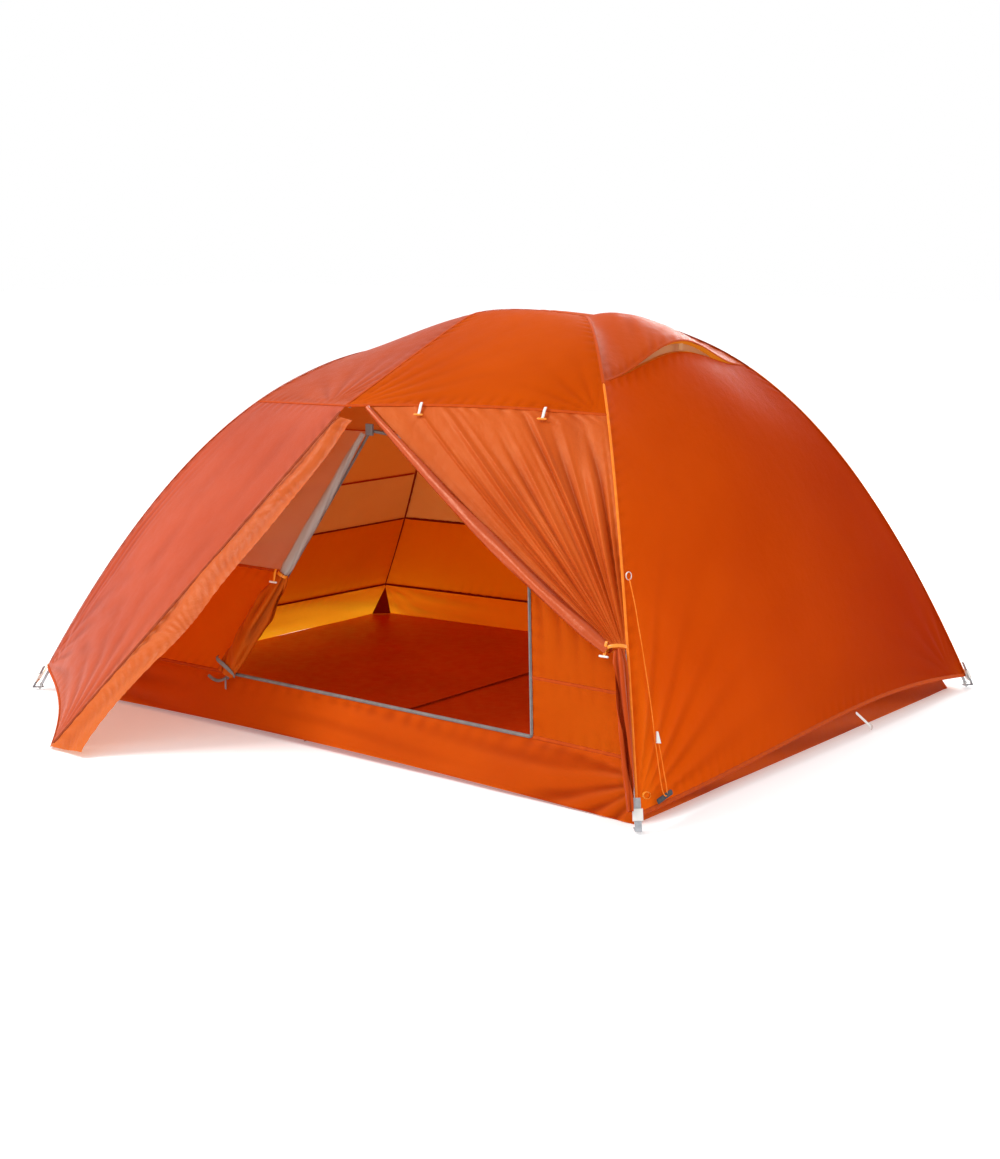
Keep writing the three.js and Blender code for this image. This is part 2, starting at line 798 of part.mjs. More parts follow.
function addInnerSide(side) {
  const name = sideName(side);
  const footLeg = innerLeg(foot, side);
  const headLeg = innerLeg(head, side);
  const apex = innerApex(side);
  const seam = point(side === front ? doorSeamHalf : 0, 0, 0);
  const footTop = footLeg(innerRoofFootAt);
  const headTop = headLeg(innerRoofHeadAt);
  const footLow = tubCorner(foot, side).add(rimGap);
  const headLow = tubCorner(head, side).add(rimGap);
  const footEdge = t => between(footLow, footTop, t).add(
    footLeg(tubLegFootAt + (innerRoofFootAt - tubLegFootAt) * t)
      .sub(between(footLeg(tubLegFootAt), footTop, t)));
  const headEdge = t => between(headLow, headTop, t).add(
    headLeg(tubLegHeadAt + (innerRoofHeadAt - tubLegHeadAt) * t)
      .sub(between(headLeg(tubLegHeadAt), headTop, t)));
  const footEave = straight(footTop, apex);
  const headEave = straight(apex, headTop);
  if (side === front) {
    panel('inner_wall_front_foot', 'innerMesh', {
      bottom: straight(footLow, doorFoot()),
      top: straight(footTop, apex.clone().sub(seam)),
      left: footEdge,
      right: straight(doorFoot(), apex.clone().sub(seam)),
    }, 5, 6);
    panel('inner_wall_front_head', 'innerSolid', {
      bottom: straight(doorHead(), headLow),
      top: straight(apex.clone().add(seam), headTop),
      left: t => doorwayEdge(t).add(seam),
      right: headEdge,
    }, 5, 7);
  } else {
    panel('inner_wall_rear', 'innerSolid', {
      bottom: straight(footLow, headLow),
      top: t => (t < 0.5 ? footEave(2 * t) : headEave(2 * t - 1)),
      left: footEdge,
      right: headEdge,
    }, 10, 6);
  }
  panel(`inner_roof_${name}`, 'innerMesh', {
    bottom: t => (t < 0.5 ? footEave(2 * t) : headEave(2 * t - 1)).add(point(0, 0, 2.5)),
    top: t => innerRidge(footHubX + (headHubX - footHubX) * t),
    left: stretch(footLeg, innerRoofFootAt + 0.005, hubEdgeAt),
    right: stretch(headLeg, innerRoofHeadAt + 0.005, hubEdgeAt),
  }, 8, 5);
}

function addInnerEnd(end) {
  const set = point(end * 3, 0, 0);
  const low = side => tubCorner(end, side).add(point(end * 3, -side * 4, 0)).setZ(tubHeight + 4);
  const from = end === head ? tubLegHeadAt : tubLegFootAt;
  const edge = side => {
    const leg = innerLeg(end, side);
    const inward = point(end * 2, -side * 5, 0);
    return t => between(low(side), leg(hubEdgeAt).add(set).add(inward), t).add(
      leg(from + (hubEdgeAt - from) * t).sub(between(leg(from), leg(hubEdgeAt), t)));
  };
  panel(`inner_wall_${endName(end)}`, 'innerSolid', {
    bottom: straight(low(front), low(rear)),
    top: straight(edge(front)(1), edge(rear)(1)),
    left: edge(front),
    right: edge(rear),
  }, 8, 7);
}

// The inner door is rolled and tied back along the foot side of the doorway
function rollLine() {
  const out = point(4, -doorRollRadius - 6, 5);
  return straight(doorFoot().add(out), innerApex(front).add(out));
}

function addDoorRoll() {
  const line = rollLine();
  const points = sampled(line, rollStarts, rollEnds, 3);
  addMesh('inner_door_roll', tubeAlong(points, doorRollRadius, 6, 10), 'innerMesh');
}

// Small hardware

// A short strap with a bar through its lower end, in the XZ plane, hanging from the origin
function toggleSolid() {
  const strap = new THREE.BoxGeometry(
    toggleStrapWidth, toggleStrapThickness, toggleStrapLength);
  strap.translate(0, 0, -toggleStrapLength / 2);
  const rod = bar(point(-toggleLength / 2, 0, -toggleStrapLength),
    point(toggleLength / 2, 0, -toggleStrapLength), toggleRadius);
  return fromSolid(toSolid(strap).add(toSolid(rod)));
}

// Hangs a toggle in the plane square to a direction out of the cloth
function hangToggle(name, origin, out) {
  const slope = up.clone().addScaledVector(out, -out.z).normalize();
  const mesh = addMesh(name, toggleSolid(), 'whitePlastic');
  const hang = origin.clone().addScaledVector(out, toggleStandOff);
  place(mesh, hang, out.clone().cross(slope), out, slope);
}

function outOfCloth(surface, u, v) {
  const step = 0.03;
  const across = surface(u + step, v).sub(surface(u - step, v));
  const along = surface(u, v).sub(surface(u, v - 4 * step));
  return across.cross(along).normalize();
}

function addToggles() {
  const door = sweptDoor();
  for (const [name, at] of [['foot', browToggleFootAt], ['head', browToggleHeadAt]]) {
    hangToggle(`brow_toggle_${name}`, door(at, 1), outOfCloth(door, at, 1));
  }
  const lean = THREE.MathUtils.degToRad(doorLean);
  const out = point(0, -Math.cos(lean), Math.sin(lean));
  hangToggle('door_tie_toggle', tiePoint().add(point(-10, -6, 12)), out);
  hangToggle('roll_toggle', rollLine()(rollTieAt).add(point(0, -doorRollRadius, 10)), out);
}

function addZip() {
  const corner = doorFoot();
  const slider = new THREE.BoxGeometry(...sliderSize);
  slider.translate(corner.x - 12, corner.y - 12, corner.z - 10);
  addMesh('zip_slider', slider, 'plastic');
  const pull = new THREE.BoxGeometry(...pullSize);
  pull.translate(0, 0, -pullSize[2] / 2);
  const hang = corner.clone().add(point(-12, -20.5, -12));
  place(addMesh('zip_pull', pull, 'plastic'), hang, point(1, 0, 0), point(0, 1, 0), up);
}

function addApexClip() {
  const apex = innerApex(front);
  const body = new THREE.BoxGeometry(...clipSize);
  body.translate(apex.x + 4, apex.y - 12, apex.z + 4);
  addMesh('apex_clip', body, 'plastic');
}

// Guyline: from the leg down the head end to the corner and back up to its tensioner
const guyline = [
  [993, -727, 580], [1005, -732, 550], [1021, -741, 514], [1039, -754, 471], [1057, -766, 428],
  [1075, -779, 383], [1092, -790, 337], [1109, -802, 292], [1125, -815, 250], [1141, -829, 204],
  [1156, -840, 164], [1171, -850, 118], [1185, -858, 80], [1189, -855, 68], [1189, -846, 63],
  [1186, -838, 71], [1169, -829, 124], [1154, -823, 172], [1144, -820, 200],
].map(([x, y, z]) => point(x, y, z));

function addGuyline() {
  addMesh('guyline', tubeAlong(guyline, cordDiameter / 2, 64), 'cord');
  const at = between(guyline[9], guyline[18], 0.5);
  const along = guyline[8].clone().sub(guyline[10]).normalize();
  const across = point(0, -1, 0).addScaledVector(along, along.y).normalize();
  const outline = new THREE.Shape([
    new THREE.Vector2(-tensionerLength / 2, -tensionerWidth / 2),
    new THREE.Vector2(tensionerLength / 2, -3),
    new THREE.Vector2(tensionerLength / 2, 3),
    new THREE.Vector2(-tensionerLength / 2, tensionerWidth / 2),
  ]);
  const plate = new THREE.ExtrudeGeometry(outline, {
    depth: tensionerThickness, bevelEnabled: false,
  });
  const out = along.clone().cross(across);
  const centre = at.clone().addScaledVector(out, cordDiameter / 2 + 3);
  place(addMesh('guyline_tensioner', plate, 'whitePlastic'), centre, along, across, out);
}

addLegs();
addRidgeAndBrow();
addSwivel();
addHub(head);
addHub(foot);
for (const end of [head, foot]) {
  for (const side of [front, rear]) {
    addTip(end, side);
    addCornerStrap(end, side);
  }
}
addFlyRoof(front);
addFlyRoof(rear);
addFlyEnd(head);
addFlyEnd(foot);
addVestibule(front);
addVestibule(rear);
addStormFlap();
addSweptDoor();
addClosedDoor();
addVent();
addTub();
addInnerSide(front);
addInnerSide(rear);
addInnerEnd(head);
addInnerEnd(foot);
addDoorRoll();
addToggles();
addZip();
addApexClip();
addGuyline();

export default tent;
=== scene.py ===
import json
import math
import bpy
import bmesh
import numpy as np
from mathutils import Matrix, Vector


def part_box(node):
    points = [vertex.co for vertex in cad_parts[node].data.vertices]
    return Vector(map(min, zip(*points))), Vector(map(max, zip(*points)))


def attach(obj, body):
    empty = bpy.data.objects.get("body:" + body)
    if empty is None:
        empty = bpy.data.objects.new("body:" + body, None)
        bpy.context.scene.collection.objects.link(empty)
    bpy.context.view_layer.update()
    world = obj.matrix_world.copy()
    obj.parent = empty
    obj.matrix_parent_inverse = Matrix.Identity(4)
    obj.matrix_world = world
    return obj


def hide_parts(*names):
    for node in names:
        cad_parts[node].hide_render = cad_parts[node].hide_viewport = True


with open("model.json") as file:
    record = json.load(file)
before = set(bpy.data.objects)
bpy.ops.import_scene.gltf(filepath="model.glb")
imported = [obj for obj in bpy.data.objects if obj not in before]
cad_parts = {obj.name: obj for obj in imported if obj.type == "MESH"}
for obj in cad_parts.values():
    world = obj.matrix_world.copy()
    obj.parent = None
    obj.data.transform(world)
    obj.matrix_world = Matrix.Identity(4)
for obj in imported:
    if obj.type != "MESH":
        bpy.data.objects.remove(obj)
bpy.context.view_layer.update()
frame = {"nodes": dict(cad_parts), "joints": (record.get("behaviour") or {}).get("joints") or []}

front, rear = -1, 1
head, foot = 1, -1
sideName = {front: "front", rear: "rear"}
endName = {head: "head", foot: "foot"}
scene = bpy.context.scene
scene.view_settings.view_transform = "Standard"

floorLow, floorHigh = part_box("floor_sheet")

# the lines of the frame, in metres
tent = {
    "length": floorHigh.x - floorLow.x,
    "widthHead": floorHigh.y - floorLow.y,
    "widthFoot": 1.595,
    "hubs": {head: (0.352, 0, 1.183), foot: (-0.400, 0, 1.061)},
    "ridgeBow": 0.067,
    "browX": -0.040,
    "browHalfSpan": 0.641,
    "browDrop": 0.243,
    "browTopRadius": 0.060,
    "stake": (-0.591, 1.314, 0.006),
    "tipReach": 0.065,
    "tipHeight": 0.005,
    "legPower": {head: 2.27, foot: 2.08},
    "legBow": {head: 0.005, foot: 0.145},
    "crossing": 0.0105,
    "flyLift": 0.01075,
    "innerGap": 0.038,
    "endHemRise": 0.046,
    "hemSkew": 1.7,
    "ventSillLift": 0.058,
    "hoodLift": 0.092,
    "ventForward": 0.05,
    "ventHalfWidth": 0.150,
    "sideHemRise": 0.030,
    "sideHemInset": 0.046,
}

# shares of the way up a leg
onLeg = {
    "browHem": 0.52, "hoodHem": 0.61, "tie": 0.17, "footSeam": 0.62,
    "hemHead": 0.012, "hemFoot": 0.032, "innerRoofHead": 0.5, "innerRoofFoot": 0.58,
    "tubHead": 0.055, "tubFoot": 0.06, "hub": 0.985, "flyTop": 0.998,
}
hemAt = {head: onLeg["hemHead"], foot: onLeg["hemFoot"]}
tubAt = {head: onLeg["tubHead"], foot: onLeg["tubFoot"]}


def vec(x, y, z):
    return np.array((x, y, z), float)


def col(t):
    return np.asarray(t, float)[..., None]


def mix(a, b, t):
    return a + (b - a) * col(t)


def unit(v):
    return v / np.maximum(np.linalg.norm(v, axis=-1, keepdims=True), 1e-9)


def ease(t, low, high):
    t = np.clip((np.asarray(t, float) - low) / (high - low), 0, 1)
    return t * t * (3 - 2 * t)


up = vec(0, 0, 1)


def floorCorner(end, side):
    width = tent["widthHead"] if end == head else tent["widthFoot"]
    return vec(end * tent["length"] / 2, side * width / 2, 0)


def outwards(end, side):
    away = floorCorner(end, side) - vec(*tent["hubs"][end])
    away[2] = 0
    return unit(away)


def poleTip(end, side):
    tip = floorCorner(end, side) + outwards(end, side) * tent["tipReach"]
    tip[2] = tent["tipHeight"]
    return tip


def legPoint(end, side, s):
    s = np.asarray(s, float)
    tip, hub = poleTip(end, side), vec(*tent["hubs"][end])
    out = outwards(end, side)
    across = vec(-out[1], out[0], 0)
    across *= np.sign(across[1]) * side * tent["legBow"][end]
    p = mix(tip, hub, s) + across * col(4 * s * (1 - s))
    p[..., 2] = tip[2] + (hub[2] - tip[2]) * (1 - np.clip(1 - s, 0, 1) ** tent["legPower"][end])
    return p


def ridgePoint(x):
    x = np.asarray(x, float)
    low, high = tent["hubs"][foot], tent["hubs"][head]
    s = (x - low[0]) / (high[0] - low[0])
    z = low[2] + (high[2] - low[2]) * s + tent["ridgeBow"] * (1 - np.abs(2 * s - 1) ** 1.6)
    return np.stack([x, 0 * x, z], -1)


ridgeTop = ridgePoint(tent["browX"])


def browPoint(side, t):
    y = tent["browHalfSpan"] * np.asarray(t, float)
    r = tent["browTopRadius"]
    fall = (np.hypot(y, r) - r) / (math.hypot(tent["browHalfSpan"], r) - r)
    return np.stack([0 * y + tent["browX"], side * y,
                     ridgeTop[2] + tent["crossing"] - tent["browDrop"] * fall], -1)


def tangentOf(line, s, step=0.002):
    s = np.asarray(s, float)
    return unit(line(np.clip(s + step, 0, 1)) - line(np.clip(s - step, 0, 1)))


def outOf(line, s):
    along = tangentOf(line, s)
    return unit(up - along * along[..., 2:3])


def offsetLine(line, lift):
    return lambda s: line(s) + outOf(line, s) * lift


def legFly(end, side, s, extra=0.0):
    line = lambda q: legPoint(end, side, q)
    near = ease(s, 0.7, 1)
    high = tent["crossing"] + tent["flyLift"]
    return (line(s) + outOf(line, s) * col((tent["flyLift"] + extra) * (1 - near))
            + up * col((high + extra) * near))


def ridgeFly(x, extra=0.0):
    return ridgePoint(x) + up * (tent["crossing"] + tent["flyLift"] + extra)


def browFly(side, t, extra=0.0):
    return offsetLine(lambda q: browPoint(side, q), tent["flyLift"] + extra)(np.asarray(t) ** 1.5)


def stake(side):
    return vec(tent["stake"][0], side * tent["stake"][1], tent["stake"][2])


def browHem(side, t):
    swell = np.sin(math.pi * np.asarray(t, float))
    return (mix(browFly(side, 1), legFly(head, side, onLeg["browHem"]), t)
            + vec(0, -side * 0.012, 0.010) * col(swell))


# a skew over 1 moves the top of the arch towards b
def arched(a, b, rise, t, skew=1.0):
    return mix(a, b, t) + up * rise * col(np.sin(math.pi * np.asarray(t, float) ** skew))


# the closed panel's hem is cut to a hollow curve between its corner and its stake
def vestibuleHem(side, t):
    hollow = np.sin(math.pi * np.asarray(t, float) ** 1.3)
    return (arched(legFly(foot, side, onLeg["hemFoot"]), stake(side), tent["sideHemRise"], t)
            + vec(tent["sideHemInset"], 0, 0) * col(hollow))


def zipLine(side, t):
    return mix(stake(side), browFly(side, 1), t)


# the head end's top edge and the hood's hem both arch up between the legs
def ventArch(t, rise):
    swell = rise * np.sin(math.pi * np.asarray(t, float)) ** 2
    a, b = (legFly(head, side, onLeg["hoodHem"]) for side in (front, rear))
    return mix(a, b, t) + vec(tent["ventForward"], 0, 1) * col(swell)


def ventSill(t):
    return ventArch(t, tent["ventSillLift"])


def hoodHem(t):
    return ventArch(t, tent["hoodLift"])


def stretch(line, low, high):
    return lambda t: line(low + (high - low) * np.asarray(t, float))


def between(a, b):
    return lambda t: mix(a, b, t)


# a stretch of a leg's line on the fly, between two shares of its height
def legSpan(end, side, low, high, extra=0.0):
    return stretch(lambda s: legFly(end, side, s, extra), low, high)


def endHem(end):
    a, b = (legFly(end, side, hemAt[end]) for side in (front, rear))
    return lambda t: arched(a, b, tent["endHemRise"], t, tent["hemSkew"])


# from the foot leg to the brow pole's end, where two fly panels meet
def footSeamLine(side):
    return between(legFly(foot, side, onLeg["footSeam"]), browFly(side, 1))


def rearDoorHem(t):
    return arched(stake(rear), legFly(head, rear, hemAt[head]), tent["sideHemRise"], t)


# spans four edges; bottom and top run one way, left and right run upwards
def patch(bottom, top, left, right):
    def surface(u, v):
        b0, b1, t0, t1 = bottom(0.0), bottom(1.0), top(0.0), top(1.0)
        corners = mix(mix(b0, b1, u), mix(t0, t1, u), v)
        return mix(left(v), right(v), u) + mix(bottom(u), top(u), v) - corners
    return surface


# meshes

def lengthsAlong(grid, axis):
    step = np.linalg.norm(np.diff(grid, axis=axis), axis=-1)
    run = np.cumsum(step, axis=axis)
    start = np.zeros_like(np.take(run, [0], axis=axis))
    return np.concatenate([start, run], axis=axis)


def normalsOf(grid):
    return unit(np.cross(np.gradient(grid, axis=1), np.gradient(grid, axis=0)))


# how deep in a fold each point lies is kept on the mesh, and the finish paints shade there, darker the deeper
def gridMesh(name, grid, material, closed=False, clean=False, uv=None, valley=None):
    rows, columns = grid.shape[:2]
    at = np.arange(rows * columns).reshape(rows, columns)
    if closed:
        at = np.concatenate([at, at[:, :1]], 1)
    faces = np.stack([at[:-1, :-1], at[:-1, 1:], at[1:, 1:], at[1:, :-1]], -1).reshape(-1, 4)
    mesh = bpy.data.meshes.new(name)
    mesh.from_pydata(grid.reshape(-1, 3).tolist(), [], faces.tolist())
    if uv is None:
        uv = np.stack([lengthsAlong(grid, 1), lengthsAlong(grid, 0)], -1)
    layer = mesh.uv_layers.new(name="cloth")
    index = np.zeros(len(mesh.loops), int)
    mesh.loops.foreach_get("vertex_index", index)
    layer.data.foreach_set("uv", uv.reshape(-1, 2)[index].astype(np.float32).ravel())
    if valley is not None:
        depths = mesh.attributes.new("valley", "FLOAT", "POINT")
        depths.data.foreach_set("value", np.clip(valley, 0, 1).astype(np.float32).ravel())
    mesh.shade_smooth()
    if clean:
        build = bmesh.new()
        build.from_mesh(mesh)
        bmesh.ops.remove_doubles(build, verts=build.verts, dist=2e-5)
        build.to_mesh(mesh)
        build.free()
    piece = bpy.data.objects.new(name, mesh)
    scene.collection.objects.link(piece)
    mesh.materials.append(material)
    return piece


def closeEnds(piece, recalc=False):
    build = bmesh.new()
    build.from_mesh(piece.data)
    bmesh.ops.holes_fill(build, edges=[e for e in build.edges if e.is_boundary])
    if recalc:
        bmesh.ops.recalc_face_normals(build, faces=build.faces)
    build.to_mesh(piece.data)
    build.free()


def belongs(piece, nodes=(), body="tent"):
    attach(piece, body)
    if nodes:
        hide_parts(*nodes)
    return piece


def areaOf(grid):
    quads = np.cross(grid[1:, 1:] - grid[:-1, :-1], grid[1:, :-1] - grid[:-1, 1:])
    return float(np.linalg.norm(quads, axis=-1).sum() / 2)


# a smooth wandering height from a few crossing waves, about -1 to 1
def softNoise(a, b, scale, seed):
    dice = np.random.RandomState(seed)
    total = 0
    for turn in range(7):
        angle, phase = dice.uniform(0, 2 * math.pi, 2)
        stepSize = scale * dice.uniform(0.6, 1.7)
        total = total + np.sin(2 * math.pi * (a * math.cos(angle) + b * math.sin(angle)) / stepSize + phase)
    return total / 3.5


# tension folds that spread from a point of the cloth
def fan(a, b, at, count, reach, depth, phase=0.0):
    da, db = a - at[0], b - at[1]
    r = np.hypot(da, db)
    turn = np.arctan2(db, da)
    wave = np.sin(count * turn + phase + 0.7 * np.sin(3.1 * turn + phase))
    return depth * wave * (r / reach) * np.exp(1 - (r / reach)) * ease(r, 0, 0.03)


# several fans on one sheet, each as (place, count, reach, depth, phase)
def fans(*each):
    return lambda a, b, u, v: sum(fan(a, b, *one) for one in each)


# small gathers beside a stitched edge
def pucker(d, along, depth, pitch, seed):
    wave = np.sin(2 * math.pi * along / pitch + 2.2 * softNoise(along, d, 0.3, seed))
    some = 0.55 + 0.45 * softNoise(along, 0 * d, 0.5, seed + 1)
    return depth * wave * some * (d / 0.012) * np.exp(1 - d / 0.012)


# a sheet of cloth over a surface, with its own small folds, that stands for CAD nodes
def makeCloth(name, surface, material, nodes, columns, rows,
              shape=None, depth=0.0012, crown=0.0, clean=False, edge=0.03, pitch=0.045, seed=1,
              folds=None, fade=(1, 1, 1, 1), dark=0.0035):
    u, v = np.meshgrid(np.linspace(0, 1, columns + 1), np.linspace(0, 1, rows + 1))
    grid = surface(u, v)
    plain = grid.copy()
    a, b = lengthsAlong(grid, 1), lengthsAlong(grid, 0)
    width, height = a[:, -1:], b[-1:, :]
    away = [a, width - a, b, height - b]
    lift = crown * np.sin(math.pi * u) * np.sin(math.pi * v)
    lift = lift + 0.0025 * depth / 0.0012 * softNoise(a, b, 0.45, seed)
    for k, d in enumerate(away):
        if fade[k]:
            lift = lift * ease(d, 0, edge)
    relief = 0 * u
    for k, d in enumerate(away):
        relief = relief + (pucker(d, b if k < 2 else a, depth, pitch, seed + 7 * k) * fade[k]
                           * np.minimum.reduce([ease(e, 0, 0.02) for j, e in enumerate(away) if j != k]))
    if folds is not None:
        hold = np.minimum.reduce([ease(d, 0, edge) if fade[k] else 1 + 0 * d for k, d in enumerate(away)])
        relief = relief + folds(a, b, u, v) * hold
    grid = grid + normalsOf(grid) * (lift + relief)[..., None]
    if shape is not None:
        grid = shape(grid, u, v)
    # painted shade: the colour is fully shaded in fold valleys as deep as dark
    piece = gridMesh(name, grid, material, clean=clean, uv=np.stack([a, b], -1), valley=-relief / dark)
    belongs(piece, nodes)
    flat = (float(width.max()), float(height.max()))
    area = min(areaOf(plain), flat[0] * flat[1])
    flat = (min(flat[0], area / (0.4 * flat[1])), flat[1])  # a narrow wedge is cut from a narrower width


# a strip with a raised, rounded back along a line, such as a felled seam or a tape
def ribbon(name, line, out, width, height, material, steps=80, body="tent"):
    t = np.linspace(0, 1, steps + 1)
    p = line(t)
    along = unit(np.gradient(p, axis=0))
    n = out(t) if callable(out) else np.broadcast_to(np.asarray(out, float), p.shape)
    n = unit(n - along * (n * along).sum(-1, keepdims=True))
    across = np.cross(along, n)
    turn = np.linspace(0, math.pi, 5)
    underside = [(0.96, -0.12), (-0.96, -0.12)]
    profile = [(-math.cos(q), math.sin(q) ** 0.6) for q in turn] + underside
    rings = [p + across * (x * width / 2) + n * (y * height) for x, y in profile]
    grid = np.stack(rings, 1)
    for k in (0, -1):
        grid[k] = grid[k].mean(0) + (grid[k] - grid[k].mean(0)) * 0.6
    piece = gridMesh(name, grid, material, closed=True,
                     uv=np.stack(np.broadcast_arrays(lengthsAlong(p[:, None], 0),
                                                     np.array([x * width / 2 for x, _ in profile])), -1))
    closeEnds(piece, recalc=True)
    return belongs(piece, body=body)


# finishes

def nodeTree(name):
    material = bpy.data.materials.new(name)
    material.use_nodes = True
    tree = material.node_tree
    return material, tree, tree.nodes["Principled BSDF"], tree.nodes["Material Output"]


def mixShaders(tree, share, a, b):
    node = tree.nodes.new("ShaderNodeMixShader")
    node.inputs[0].default_value = share
    tree.links.new(a.outputs[0], node.inputs[1])
    tree.links.new(b.outputs[0], node.inputs[2])
    return node


def math2(tree, kind, a, b=None):
    node = tree.nodes.new("ShaderNodeMath")
    node.operation = kind
    for k, value in enumerate((a, b)):
        if value is None:
            continue
        if isinstance(value, (int, float)):
            node.inputs[k].default_value = value
        else:
            tree.links.new(value, node.inputs[k])
    return node.outputs[0]


def noiseAt(tree, source, scale, detail=3.0, rough=0.5):
    node = tree.nodes.new("ShaderNodeTexNoise")
    node.inputs["Scale"].default_value = scale
    node.inputs["Detail"].default_value = detail
    node.inputs["Roughness"].default_value = rough
    tree.links.new(source, node.inputs["Vector"])
    return node.outputs["Fac"]


def blendColour(tree, factor, a, b):
    node = tree.nodes.new("ShaderNodeMix")
    node.data_type = "RGBA"
    for k, value in ((0, factor), (6, a), (7, b)):
        if isinstance(value, (int, float)):
            node.inputs[k].default_value = value
        elif isinstance(value, tuple):
            node.inputs[k].default_value = (*value[:3], 1)
        else:
            tree.links.new(value, node.inputs[k])
    return node.outputs[2]


def ramp(tree, value, low, high, toLow=0.0, toHigh=1.0):
    node = tree.nodes.new("ShaderNodeMapRange")
    for k, setting in ((1, low), (2, high), (3, toLow), (4, toHigh)):
        node.inputs[k].default_value = setting
    tree.links.new(value, node.inputs[0])
    return node.outputs[0]


def bumpOn(tree, shader, layers):
    last = None
    for height, strength, distance in layers:
        node = tree.nodes.new("ShaderNodeBump")
        node.inputs["Strength"].default_value = strength
        node.inputs["Distance"].default_value = distance
        tree.links.new(height, node.inputs["Height"])
        if last is not None:
            tree.links.new(last, node.inputs["Normal"])
        last = node.outputs[0]
    for piece in shader:
        tree.links.new(last, piece.inputs["Normal"])


# lines every pitch both ways: 1 on a line, 0 between
def threadGrid(tree, uv, pitch, width):
    split = tree.nodes.new("ShaderNodeSeparateXYZ")
    tree.links.new(uv, split.inputs[0])
    lines = []
    for axis in (0, 1):
        share = math2(tree, "FRACT", math2(tree, "MULTIPLY", split.outputs[axis], 1 / pitch))
        off = math2(tree, "ABSOLUTE", math2(tree, "SUBTRACT", share, 0.5))
        lines.append(ramp(tree, off, 0.5 - width / pitch, 0.5))
    return math2(tree, "MAXIMUM", lines[0], lines[1])


weave = {"ripstopPitch": 0.0055, "ripstopThread": 0.0009, "netPitch": 0.0022, "netThread": 0.0008}


# coated nylon: a fine square grid of thicker threads, small crinkles, light coming through, and painted shade
# in the valleys of folds
def ripstop(name, base, light, glow, through=0.35, rough=0.42, crinkle=0.35, specular=0.2,
            gloss=(1.0, 0.42, 0.10), farShade=None):
    material, tree, shader, output = nodeTree(name)
    coords = tree.nodes.new("ShaderNodeTexCoord")
    grid = threadGrid(tree, coords.outputs["UV"], weave["ripstopPitch"], weave["ripstopThread"])
    slow = noiseAt(tree, coords.outputs["Object"], 2.3, 4)
    fine = noiseAt(tree, coords.outputs["Object"], 28, 5, 0.6)
    mottled = blendColour(tree, ramp(tree, slow, 0.35, 0.68), base, light)
    if farShade is not None:  # painted shade: darker towards the far side
        place = tree.nodes.new("ShaderNodeSeparateXYZ")
        tree.links.new(coords.outputs["Object"], place.inputs[0])
        mottled = blendColour(tree, ramp(tree, place.outputs[1], -0.7, 0.9), mottled, farShade)
    threads = blendColour(tree, math2(tree, "MULTIPLY", grid, 0.12), mottled, light)
    # painted shade: the colour darkens towards a deep red-brown where the mesh marks a fold valley
    valley = tree.nodes.new("ShaderNodeAttribute")
    valley.attribute_name = "valley"
    shaded = blendColour(tree, math2(tree, "MULTIPLY", valley.outputs["Fac"], 0.75), threads,
                         tuple(c * share for c, share in zip(base, (0.45, 0.25, 0.2))))
    tree.links.new(shaded, shader.inputs["Base Color"])
    shader.inputs["Specular IOR Level"].default_value = specular
    shader.inputs["Specular Tint"].default_value = (*gloss, 1)
    tree.links.new(ramp(tree, fine, 0.3, 0.7, rough - 0.05, rough + 0.07), shader.inputs["Roughness"])
    passing = tree.nodes.new("ShaderNodeBsdfTranslucent")
    tree.links.new(blendColour(tree, ramp(tree, slow, 0.3, 0.7), glow, tuple(min(1, c * 1.12) for c in glow)),
                   passing.inputs["Color"])
    tree.links.new(mixShaders(tree, through, shader, passing).outputs[0], output.inputs["Surface"])
    bumpOn(tree, [shader, passing], [(slow, 0.25, 0.02), (fine, crinkle, 0.004), (grid, 0.25, 0.0004)])
    return material


# fine mosquito net, which partly shows what is behind it
def netting(name, base, glow, seeThrough=0.4, through=0.5):
    material, tree, shader, output = nodeTree(name)
    coords = tree.nodes.new("ShaderNodeTexCoord")
    grid = threadGrid(tree, coords.outputs["UV"], weave["netPitch"], weave["netThread"])
    slow = noiseAt(tree, coords.outputs["Object"], 5, 3)
    tree.links.new(blendColour(tree, ramp(tree, slow, 0.3, 0.7), base, tuple(c * 0.86 for c in base)),
                   shader.inputs["Base Color"])
    shader.inputs["Roughness"].default_value = 0.75
    glowing = tree.nodes.new("ShaderNodeBsdfTranslucent")
    glowing.inputs["Color"].default_value = (*glow, 1)
    clear = tree.nodes.new("ShaderNodeBsdfTransparent")
    thread = mixShaders(tree, through, shader, glowing)
    tree.links.new(mixShaders(tree, seeThrough, thread, clear).outputs[0], output.inputs["Surface"])
    bumpOn(tree, [shader, glowing], [(grid, 0.4, 0.0005)])
    return material


# woven tape: ribs across it, with a slightly worn surface
def webbing(name, base, light, pitch=0.0018, rough=0.75, specular=0.1):
    material, tree, shader, _ = nodeTree(name)
    coords = tree.nodes.new("ShaderNodeTexCoord")
    wave = tree.nodes.new("ShaderNodeTexWave")
    wave.inputs["Scale"].default_value = 0.31 / pitch
    wave.inputs["Distortion"].default_value = 0.6
    wave.bands_direction = "DIAGONAL"
    tree.links.new(coords.outputs["Object"], wave.inputs["Vector"])
    worn = noiseAt(tree, coords.outputs["Object"], 60, 4)
    tree.links.new(blendColour(tree, ramp(tree, worn, 0.35, 0.7), base, light), shader.inputs["Base Color"])
    shader.inputs["Specular IOR Level"].default_value = specular
    tree.links.new(ramp(tree, worn, 0.3, 0.7, rough - 0.08, rough + 0.1), shader.inputs["Roughness"])
    bumpOn(tree, [shader], [(wave.outputs["Fac"], 0.5, 0.0005), (worn, 0.2, 0.001)])
    return material


